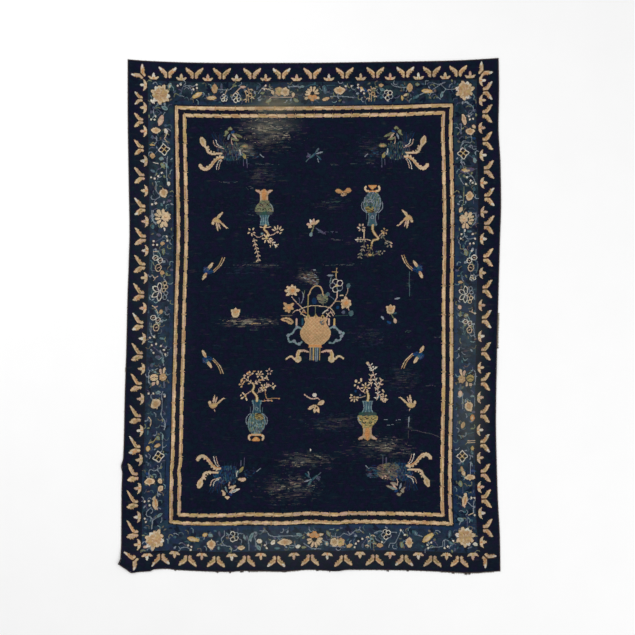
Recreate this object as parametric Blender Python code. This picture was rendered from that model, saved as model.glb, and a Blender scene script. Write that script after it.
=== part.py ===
"""A worn, hand-knotted Chinese carpet of about nine feet by twelve, lying flat.

It has five pieces: the knotted carpet, an overcast selvedge down each side and an
overcast finish along each end. Each piece is a patch of one shared surface. A point
on that surface is given by how far across and how far up the carpet it lies, so all
the pieces follow the same uneven edges and the gap between them stays even.
"""

from collections import namedtuple
from math import cos, hypot, pi, sin

import bpy

# Driving sizes in metres. The middle of the carpet is at the origin, its back at z = 0.
WIDTH = 2.722  # across the widest places
LENGTH = 3.660
PILE_TOP = 0.0090  # from the back of the foundation to the tips of the pile
SHOULDER_TOP = 0.0082  # the pile leans outwards and is lower beside the edges
SHOULDER = 0.014  # how far in from its own edge the pile reaches its full height
SELVEDGE = 0.0090  # width of the overcast cord down each side
END_FINISH = 0.0080  # width of the overcast strip along each end
EDGE_TOP = 0.0076  # height of the overcast cords
EDGE_WALL = 0.35  # share of that height where the cord's round top begins
GAP = 0.0003  # between two pieces
STEP = 0.085  # the longest run between two points of an edge
MERGE = 0.018  # marks closer than this become one
ARCH_SIDES = 4  # flats in the round top of a cord

# A corner's distance in from the straight lines round the carpet's widest places.
Corner = namedtuple("Corner", "from_side from_end")
BOTTOM_LEFT = Corner(0.000, 0.066)
BOTTOM_RIGHT = Corner(0.0045, 0.013)
TOP_LEFT = Corner(0.068, 0.009)
TOP_RIGHT = Corner(0.0175, 0.000)

# An edge's distance in from its line, at a place measured from the bottom line on a
# side and from the left line on an end.
Edge = namedtuple("Edge", "place inset")
LEFT_EDGE = (
    Edge(0.109, 0.017),
    Edge(0.236, 0.022),
    Edge(0.591, 0.024),
    Edge(0.712, 0.029),
    Edge(0.758, 0.022),
    Edge(0.819, 0.036),
    Edge(1.280, 0.048),
    Edge(1.585, 0.058),
    Edge(2.004, 0.068),
    Edge(2.182, 0.075),
    Edge(2.420, 0.081),
    Edge(2.807, 0.075),
    Edge(3.353, 0.068),
)
RIGHT_EDGE = (
    Edge(0.251, 0.008),
    Edge(0.520, 0.022),
    Edge(0.797, 0.031),
    Edge(1.067, 0.036),
    Edge(1.458, 0.031),
    Edge(1.827, 0.022),
    Edge(2.359, 0.008),
    Edge(2.629, 0.000),
    Edge(2.899, 0.004),
    Edge(3.176, 0.018),
    Edge(3.446, 0.014),
)
BOTTOM_EDGE = (
    Edge(0.055, 0.029),
    Edge(0.099, 0.001),
    Edge(0.147, 0.007),
    Edge(0.228, 0.013),
    Edge(0.253, 0.025),
    Edge(0.342, 0.030),
    Edge(0.427, 0.021),
    Edge(0.796, 0.008),
    Edge(0.888, 0.015),
    Edge(1.158, 0.011),
    Edge(1.364, 0.023),
    Edge(1.549, 0.013),
    Edge(1.634, 0.023),
    Edge(1.996, 0.020),
    Edge(2.358, 0.006),
    Edge(2.479, 0.000),
)
TOP_EDGE = (
    Edge(0.207, 0.020),
    Edge(0.523, 0.032),
    Edge(0.796, 0.035),
    Edge(1.364, 0.034),
    Edge(1.817, 0.028),
    Edge(2.270, 0.021),
    Edge(2.496, 0.013),
)

# Places where the pile is worn down, by metres from the left and the bottom line.
Hollow = namedtuple("Hollow", "across up half_width half_length depth")
HOLLOWS = (
    Hollow(1.119, 3.122, 0.260, 0.190, 0.0034),
    Hollow(1.115, 3.388, 0.250, 0.090, 0.0026),
    Hollow(0.948, 1.790, 0.260, 0.070, 0.0018),
    Hollow(1.371, 0.662, 0.320, 0.160, 0.0024),
    Hollow(1.982, 0.954, 0.320, 0.160, 0.0022),
    Hollow(2.436, 1.585, 0.150, 0.110, 0.0026),
    Hollow(2.436, 1.017, 0.150, 0.130, 0.0026),
)

# Places where an edge or a corner doesn't lie quite flat, in the same way.
Lift = namedtuple("Lift", "across up reach height")
LIFTS = (
    Lift(0.000, 0.040, 0.190, 0.0150),  # the curled corner
    Lift(0.022, 0.758, 0.150, 0.0045),
    Lift(0.080, 2.250, 0.170, 0.0030),
    Lift(2.700, 1.480, 0.170, 0.0040),
    Lift(0.260, 0.010, 0.120, 0.0035),
    Lift(1.600, 0.010, 0.150, 0.0030),
)

NAVY_WOOL = (0.010, 0.016, 0.048)
OVERCAST_YARN = (0.018, 0.008, 0.008)


def side_curve(low, rows, high):
    """An edge table with its two corners added."""
    return (
        Edge(low.from_end, low.from_side),
        *rows,
        Edge(LENGTH - high.from_end, high.from_side),
    )


def end_curve(left, rows, right):
    return (
        Edge(left.from_side, left.from_end),
        *rows,
        Edge(WIDTH - right.from_side, right.from_end),
    )


def slopes(curve):
    """The slope at each row, level at a peak, so that the curve never swings past its rows."""
    rises = [
        (after.inset - row.inset) / (after.place - row.place)
        for row, after in zip(curve, curve[1:])
    ]
    inner = [
        0.0 if before * after <= 0 else 2 * before * after / (before + after)
        for before, after in zip(rises, rises[1:])
    ]
    return [rises[0], *inner, rises[-1]]


def inset_at(curve, share):
    """(place, inset) at a share of the way along an edge."""
    place = curve[0].place + share * (curve[-1].place - curve[0].place)
    lean = slopes(curve)
    k = max(i for i, row in enumerate(curve[:-1]) if row.place <= place + 1e-9)
    run = curve[k + 1].place - curve[k].place
    t = (place - curve[k].place) / run
    inset = (
        (1 + 2 * t) * (1 - t) ** 2 * curve[k].inset
        + t * (1 - t) ** 2 * run * lean[k]
        + t * t * (3 - 2 * t) * curve[k + 1].inset
        + t * t * (t - 1) * run * lean[k + 1]
    )
    return place, inset


LEFT = side_curve(BOTTOM_LEFT, LEFT_EDGE, TOP_LEFT)
RIGHT = side_curve(BOTTOM_RIGHT, RIGHT_EDGE, TOP_RIGHT)
BOTTOM = end_curve(BOTTOM_LEFT, BOTTOM_EDGE, BOTTOM_RIGHT)
TOP = end_curve(TOP_LEFT, TOP_EDGE, TOP_RIGHT)


def left_point(v):
    up, inset = inset_at(LEFT, v)
    return inset - WIDTH / 2, up - LENGTH / 2


def right_point(v):
    up, inset = inset_at(RIGHT, v)
    return WIDTH / 2 - inset, up - LENGTH / 2


def bottom_point(u):
    across, inset = inset_at(BOTTOM, u)
    return across - WIDTH / 2, inset - LENGTH / 2


def top_point(u):
    across, inset = inset_at(TOP, u)
    return across - WIDTH / 2, LENGTH / 2 - inset


def spot(u, v):
    """Where a point lies on the floor that is u across and v up the carpet, from 0 to 1.

    It blends the four edges, less the four corners that would count twice.
    """
    left, right = left_point(v), right_point(v)
    bottom, top = bottom_point(u), top_point(u)
    return tuple(
        (1 - u) * left[i]
        + u * right[i]
        + (1 - v) * bottom[i]
        + v * top[i]
        - (1 - u) * (1 - v) * left_point(0)[i]
        - u * (1 - v) * right_point(0)[i]
        - (1 - u) * v * left_point(1)[i]
        - u * v * right_point(1)[i]
        for i in (0, 1)
    )


def swell(distance):
    """1 in the middle of a hollow or a lift, falling smoothly to 0 at its rim."""
    return cos(pi / 2 * min(distance, 1.0)) ** 2


def lift_at(x, y):
    """How far the carpet's back is off the floor."""
    return sum(
        row.height
        * swell(
            hypot(x + WIDTH / 2 - row.across, y + LENGTH / 2 - row.up) / row.reach
        )
        for row in LIFTS
    )


def worn_at(x, y):
    """How much of the pile's height is gone."""
    return sum(
        row.depth
        * swell(
            hypot(
                (x + WIDTH / 2 - row.across) / row.half_width,
                (y + LENGTH / 2 - row.up) / row.half_length,
            )
        )
        for row in HOLLOWS
    )


def marks(curves, first, last, size, inner=()):
    """Shares from first to last that meet the edges' own rows, no further apart than STEP."""
    wanted = [first, *inner]
    rows = sorted(
        (row.place - curve[0].place) / (curve[-1].place - curve[0].place)
        for curve in curves
        for row in curve[1:-1]
    )
    for share in rows:
        clear = all(abs(share - other) * size > MERGE for other in (*wanted, last))
        if clear and first < share < last:
            wanted.append(share)
    wanted = sorted([*wanted, last])
    found = []
    for low, high in zip(wanted, wanted[1:]):
        parts = int((high - low) * size / STEP) + 1
        found += [low + (high - low) * i / parts for i in range(parts)]
    return [*found, last]


# The pile's own edges, and the lines where it reaches its full height.
U_FIRST = (SELVEDGE + GAP) / WIDTH
V_FIRST = (END_FINISH + GAP) / LENGTH
U_SHOULDER = U_FIRST + SHOULDER / WIDTH
V_SHOULDER = V_FIRST + SHOULDER / LENGTH
COLUMNS = marks(
    (BOTTOM, TOP), U_FIRST, 1 - U_FIRST, WIDTH, (U_SHOULDER, 1 - U_SHOULDER)
)
ROWS = marks((LEFT, RIGHT), V_FIRST, 1 - V_FIRST, LENGTH, (V_SHOULDER, 1 - V_SHOULDER))


def wool(name, colour, roughness):
    """A plain dyed yarn."""
    material = bpy.data.materials.new(name)
    material.use_nodes = True
    shader = material.node_tree.nodes["Principled BSDF"]
    shader.inputs["Base Color"].default_value = (*colour, 1.0)
    shader.inputs["Roughness"].default_value = roughness
    shader.inputs["Metallic"].default_value = 0.0
    shader.inputs["Sheen Weight"].default_value = 0.3
    return material


def add_piece(name, points, faces, colour, roughness):
    """A named object of these points and faces, shaded smooth but for its corners."""
    mesh = bpy.data.meshes.new(name)
    mesh.from_pydata(points, [], faces)
    mesh.validate()
    mesh.shade_smooth()
    mesh.set_sharp_from_angle(angle=pi / 5)
    mesh.materials.append(wool(f"{name}_wool", colour, roughness))
    piece = bpy.data.objects.new(name, mesh)
    bpy.context.scene.collection.objects.link(piece)
    return piece


def pile_carpet():
    """The knotted carpet: a thin slab with worn hollows, between the four edge finishes."""
    wide, high = len(COLUMNS), len(ROWS)
    places = [spot(u, v) for v in ROWS for u in COLUMNS]
    inner_u = range(1, wide - 1)
    inner_v = range(1, high - 1)
    back, face = [], []
    for k, (x, y) in enumerate(places):
        inside = k % wide in inner_u and k // wide in inner_v
        height = (PILE_TOP if inside else SHOULDER_TOP) - worn_at(x, y)
        back.append((x, y, lift_at(x, y)))
        face.append((x, y, lift_at(x, y) + height))
    cells = [
        (row * wide + col, row * wide + col + 1, (row + 1) * wide + col + 1, (row + 1) * wide + col)
        for row in range(high - 1)
        for col in range(wide - 1)
    ]
    count = len(places)
    rim = (
        list(range(wide))
        + [row * wide + wide - 1 for row in range(1, high)]
        + [(high - 1) * wide + col for col in range(wide - 2, -1, -1)]
        + [row * wide for row in range(high - 2, 0, -1)]
    )
    faces = [tuple(count + k for k in cell) for cell in cells]
    faces += [tuple(reversed(cell)) for cell in cells]
    faces += [
        (a, b, b + count, a + count) for a, b in zip(rim, [*rim[1:], rim[0]])
    ]
    return add_piece("pile_carpet", back + face, faces, NAVY_WOOL, 0.9)


def cord_section(edge_point, inner_point, x_lift):
    """One section of an overcast cord: flat below, round on top."""
    section = []
    for k in range(ARCH_SIDES + 1):
        turn = pi * k / ARCH_SIDES
        share = (1 - cos(turn)) / 2
        height = EDGE_TOP * (EDGE_WALL + (1 - EDGE_WALL) * sin(turn))
        x, y = (
            (1 - share) * a + share * b for a, b in zip(edge_point, inner_point)
        )
        section.append((x, y, x_lift + height))
    return [(*edge_point, x_lift), *section, (*inner_point, x_lift)]


def overcast_cord(name, edge_points, inner_points, turned):
    """A cord through two lines of floor points, its outer and its inner side."""
    points = []
    for outer, inner in zip(edge_points, inner_points):
        middle = [(a + b) / 2 for a, b in zip(outer, inner)]
        points += cord_section(outer, inner, lift_at(*middle))
    around = ARCH_SIDES + 3
    last = len(points) - around
    faces = [
        (k + i, k + (i + 1) % around, k + around + (i + 1) % around, k + around + i)
        for k in range(0, last, around)
        for i in range(around)
    ]
    faces.append(tuple(reversed(range(around))))
    faces.append(tuple(last + i for i in range(around)))
    if turned:
        faces = [tuple(reversed(face)) for face in faces]
    return add_piece(name, points, faces, OVERCAST_YARN, 0.85)


def selvedges():
    """The two side cords, which run the whole length."""
    runs = [0.0, *ROWS, 1.0]
    width = SELVEDGE / WIDTH
    left_outer = [spot(0.0, v) for v in runs]
    left_inner = [spot(width, v) for v in runs]
    right_outer = [spot(1.0, v) for v in runs]
    right_inner = [spot(1 - width, v) for v in runs]
    overcast_cord("selvedge_left", left_outer, left_inner, False)
    overcast_cord("selvedge_right", right_outer, right_inner, True)


def end_finishes():
    """The strips along the top and the bottom, between the side cords."""
    width = END_FINISH / LENGTH
    bottom_outer = [spot(u, 0.0) for u in COLUMNS]
    bottom_inner = [spot(u, width) for u in COLUMNS]
    top_outer = [spot(u, 1.0) for u in COLUMNS]
    top_inner = [spot(u, 1 - width) for u in COLUMNS]
    overcast_cord("end_finish_bottom", bottom_outer, bottom_inner, True)
    overcast_cord("end_finish_top", top_outer, top_inner, False)


def main():
    for old in list(bpy.data.objects):
        bpy.data.objects.remove(old, do_unlink=True)
    pile_carpet()
    selvedges()
    end_finishes()


main()
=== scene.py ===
"""A worn, hand-knotted Chinese carpet seen from straight above.

The pattern is charted knot by knot, as a weaver's cartoon is: every motif is drawn by a
short function in steps of one pixel of the photograph, 7.1 mm of carpet, and set down at
its place. The chart then becomes one closed carpet mesh whose faces are its fields of
colour. The four overcast edges are wound cords of their own.
"""

from collections import namedtuple
from math import cos, hypot, pi, radians, sin

import bpy
import numpy as np
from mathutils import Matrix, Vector
from mathutils.geometry import delaunay_2d_cdt


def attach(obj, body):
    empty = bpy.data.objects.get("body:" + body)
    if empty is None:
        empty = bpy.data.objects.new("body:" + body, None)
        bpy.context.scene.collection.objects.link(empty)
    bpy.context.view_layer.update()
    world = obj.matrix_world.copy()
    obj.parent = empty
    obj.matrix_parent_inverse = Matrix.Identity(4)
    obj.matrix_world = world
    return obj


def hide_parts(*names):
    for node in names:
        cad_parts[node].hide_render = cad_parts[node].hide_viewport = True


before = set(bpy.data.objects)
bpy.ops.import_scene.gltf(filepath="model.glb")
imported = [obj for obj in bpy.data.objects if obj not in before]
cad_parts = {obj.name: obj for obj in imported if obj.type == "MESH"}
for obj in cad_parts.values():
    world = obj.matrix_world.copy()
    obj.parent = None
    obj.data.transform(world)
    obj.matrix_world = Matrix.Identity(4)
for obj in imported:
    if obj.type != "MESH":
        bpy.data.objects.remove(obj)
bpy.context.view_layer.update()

# ---------------------------------------------------------------- sizes, in metres

WIDTH = 2.722  # across the widest places
LENGTH = 3.660
PILE_TOP = 0.0090  # from the back of the foundation to the tips of the pile
SHOULDER_TOP = 0.0074  # the pile leans outwards and is lower beside the edges
SHOULDER = 0.014  # how far in from its own edge the pile reaches its full height
SELVEDGE = 0.0090  # width of the overcast cord down each side
END_FINISH = 0.0080  # width of the overcast strip along each end
EDGE_TOP = 0.0076  # height of the overcast cords
GAP = 0.0003  # between two pieces
KNOT = 0.0044  # one knot of pile, across and up
WRAP = 0.0052  # one turn of the overcasting yarn along an edge

# The photograph: how much carpet one of its pixels shows, its middle, and the middle of
# the carpet in it.
PHOTO_STEP = 0.0071
PHOTO_SIDE = 635
PHOTO_MIDDLE = 317.5
CARPET_MIDDLE_X = 309.55
CARPET_MIDDLE_Y = 315.55

# ---------------------------------------------------------------- the carpet's outline


def rows_of(kind, *rows):
    """The rows of a table, with their columns named."""
    return tuple(kind(*row) for row in rows)


Corner = namedtuple("Corner", "from_side from_end")
BOTTOM_LEFT = Corner(0.000, 0.066)
BOTTOM_RIGHT = Corner(0.0045, 0.013)
TOP_LEFT = Corner(0.068, 0.009)
TOP_RIGHT = Corner(0.0175, 0.000)
Edge = namedtuple("Edge", "place inset")
LEFT_EDGE = rows_of(
    Edge,
    (0.109, 0.017), (0.236, 0.022), (0.591, 0.024), (0.712, 0.029), (0.758, 0.022), (0.819, 0.036),
    (1.280, 0.048), (1.585, 0.058), (2.004, 0.068), (2.182, 0.075), (2.420, 0.081), (2.807, 0.075),
    (3.353, 0.068),
)
RIGHT_EDGE = rows_of(
    Edge,
    (0.251, 0.008), (0.520, 0.022), (0.797, 0.031), (1.067, 0.036), (1.458, 0.031), (1.827, 0.022),
    (2.359, 0.008), (2.629, 0.000), (2.899, 0.004), (3.176, 0.018), (3.446, 0.014),
)
BOTTOM_EDGE = rows_of(
    Edge,
    (0.055, 0.029), (0.099, 0.001), (0.147, 0.007), (0.228, 0.013), (0.253, 0.025), (0.342, 0.030),
    (0.427, 0.021), (0.796, 0.008), (0.888, 0.015), (1.158, 0.011), (1.364, 0.023), (1.549, 0.013),
    (1.634, 0.023), (1.996, 0.020), (2.358, 0.006), (2.479, 0.000),
)
TOP_EDGE = rows_of(
    Edge,
    (0.207, 0.020), (0.523, 0.032), (0.796, 0.035), (1.364, 0.034), (1.817, 0.028), (2.270, 0.021),
    (2.496, 0.013),
)

# Worn hollows and lifted places, by metres from the left and the bottom line.
Hollow = namedtuple("Hollow", "across up half_width half_length depth")
HOLLOWS = rows_of(
    Hollow,
    (1.119, 3.122, 0.260, 0.190, 0.0034), (1.115, 3.388, 0.250, 0.090, 0.0026),
    (0.948, 1.790, 0.260, 0.070, 0.0018), (1.371, 0.662, 0.320, 0.160, 0.0024),
    (1.982, 0.954, 0.320, 0.160, 0.0022), (2.436, 1.585, 0.150, 0.110, 0.0026),
    (2.436, 1.017, 0.150, 0.130, 0.0026),
)
Lift = namedtuple("Lift", "across up reach height")
LIFTS = (
    Lift(0.000, 0.040, 0.190, 0.0150),  # the curled corner
    Lift(0.022, 0.758, 0.150, 0.0045),
    Lift(0.080, 2.250, 0.170, 0.0030),
    Lift(2.700, 1.480, 0.170, 0.0040),
    Lift(0.260, 0.010, 0.120, 0.0035),
    Lift(1.600, 0.010, 0.150, 0.0030),
)


def edge_curve(first, rows, last):
    """An edge as arrays of places, insets and slopes, level at each peak."""
    curve = (first, *rows, last)
    place = np.array([row.place for row in curve])
    inset = np.array([row.inset for row in curve])
    rise = np.diff(inset) / np.diff(place)
    product = rise[:-1] * rise[1:]
    total = np.where(product > 0, rise[:-1] + rise[1:], 1.0)
    inner = np.where(product > 0, 2 * product / total, 0.0)
    return place, inset, np.concatenate([rise[:1], inner, rise[-1:]])


def inset_at(curve, share):
    """(place, inset) at shares of the way along an edge."""
    place, inset, slope = curve
    along = place[0] + share * (place[-1] - place[0])
    k = np.clip(np.searchsorted(place, along + 1e-9) - 1, 0, len(place) - 2)
    run = place[k + 1] - place[k]
    t = (along - place[k]) / run
    return along, (
        (1 + 2 * t) * (1 - t) ** 2 * inset[k]
        + t * (1 - t) ** 2 * run * slope[k]
        + t * t * (3 - 2 * t) * inset[k + 1]
        + t * t * (t - 1) * run * slope[k + 1]
    )


LEFT = edge_curve(
    Edge(BOTTOM_LEFT.from_end, BOTTOM_LEFT.from_side),
    LEFT_EDGE,
    Edge(LENGTH - TOP_LEFT.from_end, TOP_LEFT.from_side),
)
RIGHT = edge_curve(
    Edge(BOTTOM_RIGHT.from_end, BOTTOM_RIGHT.from_side),
    RIGHT_EDGE,
    Edge(LENGTH - TOP_RIGHT.from_end, TOP_RIGHT.from_side),
)
BOTTOM = edge_curve(
    Edge(BOTTOM_LEFT.from_side, BOTTOM_LEFT.from_end),
    BOTTOM_EDGE,
    Edge(WIDTH - BOTTOM_RIGHT.from_side, BOTTOM_RIGHT.from_end),
)
TOP = edge_curve(
    Edge(TOP_LEFT.from_side, TOP_LEFT.from_end),
    TOP_EDGE,
    Edge(WIDTH - TOP_RIGHT.from_side, TOP_RIGHT.from_end),
)


def left_point(v):
    """A point of the left edge, v of the way up it, on the floor."""
    up, inset = inset_at(LEFT, v)
    return np.array([inset - WIDTH / 2, up - LENGTH / 2])


def right_point(v):
    """A point of the right edge, v of the way up it, on the floor."""
    up, inset = inset_at(RIGHT, v)
    return np.array([WIDTH / 2 - inset, up - LENGTH / 2])


def bottom_point(u):
    """A point of the bottom edge, u of the way across it, on the floor."""
    across, inset = inset_at(BOTTOM, u)
    return np.array([across - WIDTH / 2, inset - LENGTH / 2])


def top_point(u):
    """A point of the top edge, u of the way across it, on the floor."""
    across, inset = inset_at(TOP, u)
    return np.array([across - WIDTH / 2, LENGTH / 2 - inset])


def corner(point, share):
    """The one point of an edge that ends it, at a share of 0 or 1."""
    return point(np.array([share]))


def spot(u, v):
    """Where on the floor a point lies that is u across and v up the carpet, from 0 to 1."""
    u, v = np.broadcast_arrays(np.asarray(u, float), np.asarray(v, float))
    shape = u.shape
    u, v = u.ravel(), v.ravel()
    x, y = (
        (1 - u) * left_point(v)
        + u * right_point(v)
        + (1 - v) * bottom_point(u)
        + v * top_point(u)
        - (1 - u) * (1 - v) * corner(left_point, 0.0)
        - u * (1 - v) * corner(right_point, 0.0)
        - (1 - u) * v * corner(left_point, 1.0)
        - u * v * corner(right_point, 1.0)
    )
    return x.reshape(shape), y.reshape(shape)


def swell(distance):
    """1 in the middle of a hollow or a lift, falling smoothly to 0 at its rim."""
    return np.cos(pi / 2 * np.minimum(distance, 1.0)) ** 2


def lift_at(x, y):
    """How far the carpet's back is off the floor."""
    return sum(
        row.height
        * swell(np.hypot(x + WIDTH / 2 - row.across, y + LENGTH / 2 - row.up) / row.reach)
        for row in LIFTS
    )


def worn_at(x, y):
    """How much of the pile's height is gone."""
    return sum(
        row.depth
        * swell(
            np.hypot(
                (x + WIDTH / 2 - row.across) / row.half_width,
                (y + LENGTH / 2 - row.up) / row.half_length,
            )
        )
        for row in HOLLOWS
    )


# ---------------------------------------------------------------- the knot chart

U_FIRST = (SELVEDGE + GAP) / WIDTH
V_FIRST = (END_FINISH + GAP) / LENGTH
COLUMNS = round(WIDTH * (1 - 2 * U_FIRST) / KNOT)
ROWS = round(LENGTH * (1 - 2 * V_FIRST) / KNOT)
STEP = PHOTO_STEP / KNOT  # knots to one step of a motif's frame, which is one photo pixel
PLACING_ROUNDS = 6  # to find the knot at a place, against the pull of the outline
THINNEST = 1.15  # the least width of a line, in knots

# Where the weaving pulled the pattern away from the outline, in metres.
Drift = namedtuple("Drift", "photo_x photo_y reach_x reach_y right up")
DRIFTS = rows_of(
    Drift,
    (450, 182, 90, 100, -0.0115, 0.0), (450, 395, 90, 125, 0.0170, 0.0), (440, 110, 50, 40, 0.0, 0.0110),
    (185, 520, 50, 40, 0.0, -0.0100),
)


def floor_of(photo_x, photo_y):
    """A place in the photograph as metres on the floor."""
    return (
        (photo_x - CARPET_MIDDLE_X) * PHOTO_STEP,
        (CARPET_MIDDLE_Y - photo_y) * PHOTO_STEP,
    )


def nearness(row, photo_x, photo_y):
    """1 in the middle of a row's place in the photograph, falling to 0 at its reach."""
    return swell(np.hypot((photo_x - row.photo_x) / row.reach_x, (photo_y - row.photo_y) / row.reach_y))


def drift_at(u, v):
    """How far right and up the pattern is pulled; nothing at the rim."""
    photo_x = CARPET_MIDDLE_X + (u - 0.5) * WIDTH / PHOTO_STEP
    photo_y = CARPET_MIDDLE_Y - (v - 0.5) * LENGTH / PHOTO_STEP
    inside = swell(np.abs(2 * u - 1) ** 6) * swell(np.abs(2 * v - 1) ** 6)
    right = up = 0.0
    for row in DRIFTS:
        near = nearness(row, photo_x, photo_y)
        right = right + near * row.right * inside
        up = up + near * row.up * inside
    return right, up


def laid(u, v):
    """Floor place of a point of the loom, with the pattern's drift."""
    x, y = spot(u, v)
    right, up = drift_at(u, v)
    return x + right, y + up


def in_knots(u, v):
    """(column, row) of a point that is u across and v up the carpet, from 0 to 1."""
    across = (u - U_FIRST) / (1 - 2 * U_FIRST) * COLUMNS
    up = (v - V_FIRST) / (1 - 2 * V_FIRST) * ROWS
    return np.array([across, up])


def knot_at(photo_x, photo_y):
    """(column, row) of the knot that lies at a place in the photograph."""
    x, y = floor_of(np.float64(photo_x), np.float64(photo_y))
    u, v = x / WIDTH + 0.5, y / LENGTH + 0.5
    for _ in range(PLACING_ROUNDS):
        now_x, now_y = laid(u, v)
        u, v = u + (x - now_x) / WIDTH, v + (y - now_y) / LENGTH
    return in_knots(u, v)


YARNS = []


def skein(red, green, blue, mottled=False):
    """A dyed yarn by its colour on the screen, as the number that stands for it in the chart."""
    YARNS.append((red, green, blue, mottled))
    return len(YARNS) - 1


FIELD = skein(15, 21, 37)
GUARD = skein(20, 22, 34)
BORDER = skein(29, 41, 54, mottled=True)
LINE = skein(28, 45, 66, mottled=True)
DEEP = skein(22, 23, 33)
TAN = skein(170, 142, 107)
LIGHT = skein(190, 168, 138)
IVORY = skein(196, 190, 176)
ORANGE = skein(184, 130, 82)
BROWN = skein(52, 38, 30)
GOLD = skein(176, 150, 98)
OLIVE = skein(112, 116, 88)
TEAL = skein(56, 84, 94)
PALE = skein(108, 130, 132)
BLUE = skein(28, 58, 94)
SLATE = skein(76, 80, 98)
ROSE = skein(180, 152, 134)
MIST = skein(122, 130, 138)
DARK_LEAF = skein(15, 25, 42)
WARM = skein(166, 130, 92)
GREY = skein(66, 68, 72)
KHAKI = skein(98, 92, 78)
DUSK = skein(50, 48, 52)
BAND = skein(176, 148, 112)
BAND_LIGHT = skein(201, 173, 137)
FEATHER = skein(22, 46, 76)
FEATHER_TEAL = skein(36, 66, 82)
OLIVE_GOLD = skein(140, 126, 80)
VASE_GREEN = skein(50, 70, 64)
STEEL = skein(70, 90, 94)
FADED = skein(30, 36, 54)
WORN_PALE = skein(134, 127, 112)
GROUNDS = (FIELD, GUARD, BORDER, LINE, DEEP, DARK_LEAF)

chart = np.full((ROWS, COLUMNS), FIELD, np.uint8)
is_ground = np.zeros(len(YARNS), bool)
is_ground[list(GROUNDS)] = True


def window(points, margin):
    """The part of the chart round some points, and its knots' middles."""
    points = np.atleast_2d(points)
    low = np.floor(points.min(axis=0) - margin).astype(int)
    high = np.ceil(points.max(axis=0) + margin).astype(int)
    columns = slice(max(low[0], 0), min(max(high[0], 0), COLUMNS))
    rows = slice(max(low[1], 0), min(max(high[1], 0), ROWS))
    across, up = np.meshgrid(
        np.arange(columns.start, columns.stop) + 0.5, np.arange(rows.start, rows.stop) + 0.5
    )
    return (rows, columns), across, up


def dye(view, mask, yarn, rim=None):
    """Knots a mask in a yarn, with a rim one knot wide where it meets the ground."""
    part = chart[view]
    if rim is not None:
        grown = mask.copy()
        grown[1:] |= mask[:-1]
        grown[:-1] |= mask[1:]
        grown[:, 1:] |= mask[:, :-1]
        grown[:, :-1] |= mask[:, 1:]
        part[grown & ~mask & is_ground[part]] = rim
    part[mask] = yarn


def inside_of(points):
    """The part of the chart round an outline, its knots' middles, and which lie inside."""
    points = np.asarray(points)
    view, across, up = window(points, 2)
    inside = np.zeros(across.shape, bool)
    for (x0, y0), (x1, y1) in zip(points, np.roll(points, -1, axis=0)):
        if y0 == y1:
            continue
        crossed = (y0 > up) != (y1 > up)
        inside ^= crossed & (across < (x1 - x0) * (up - y0) / (y1 - y0) + x0)
    return view, across, up, inside


def fill_outline(points, yarn, rim=None):
    """Knots the inside of a closed outline, given in knots."""
    view, _, _, inside = inside_of(points)
    dye(view, inside, yarn, rim)


def chance(first, second=0, third=0):
    """A fixed number from 0 to 1 for each set of whole numbers."""
    found = np.sin(12.9898 * first + 78.233 * second + 37.719 * third + 0.5) * 43758.5453
    return found - np.floor(found)


def fleck(view, across, up, mask, yarns, share, wide, high):
    """Knots a share of a mask in short dashes, upright or level, of several yarns."""
    if high > wide:
        strip = across // wide
        block = (up + high * chance(strip)) // high
    else:
        strip = up // high
        block = (across + wide * chance(strip)) // wide
    luck = chance(strip, block) / share
    part = chart[view]
    for k, yarn in enumerate(yarns):
        part[mask & (luck >= k / len(yarns)) & (luck < (k + 1) / len(yarns))] = yarn


def fill_line(points, widths, yarn, rim=None):
    """Knots a line through points, with a width at each, all in knots."""
    points = np.asarray(points)
    view, across, up = window(points, max(widths) / 2 + 2)
    inside = np.zeros(across.shape, bool)
    for (x0, y0), (x1, y1), w0, w1 in zip(points, points[1:], widths, widths[1:]):
        run = (x1 - x0) ** 2 + (y1 - y0) ** 2
        if run == 0:
            continue
        t = np.clip(((across - x0) * (x1 - x0) + (up - y0) * (y1 - y0)) / run, 0, 1)
        away = np.hypot(across - x0 - t * (x1 - x0), up - y0 - t * (y1 - y0))
        inside |= away <= (w0 + t * (w1 - w0)) / 2
    dye(view, inside, yarn, rim)


def rounded(points, closed):
    """More points on a smooth curve through these."""
    points = np.asarray(points, float)
    count = len(points)
    if count < 3:
        return points
    found = []
    for k in range(count if closed else count - 1):
        if closed:
            a, b, c, d = (points[(k + i) % count] for i in (-1, 0, 1, 2))
        else:
            a, b, c, d = (points[min(max(k + i, 0), count - 1)] for i in (-1, 0, 1, 2))
        for t in np.arange(0, 1, 0.25):
            found.append(
                0.5
                * (
                    2 * b
                    + (c - a) * t
                    + (2 * a - 5 * b + 4 * c - d) * t * t
                    + (3 * b - a - 3 * c + d) * t**3
                )
            )
    if not closed:
        found.append(points[-1])
    return np.array(found)


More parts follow.
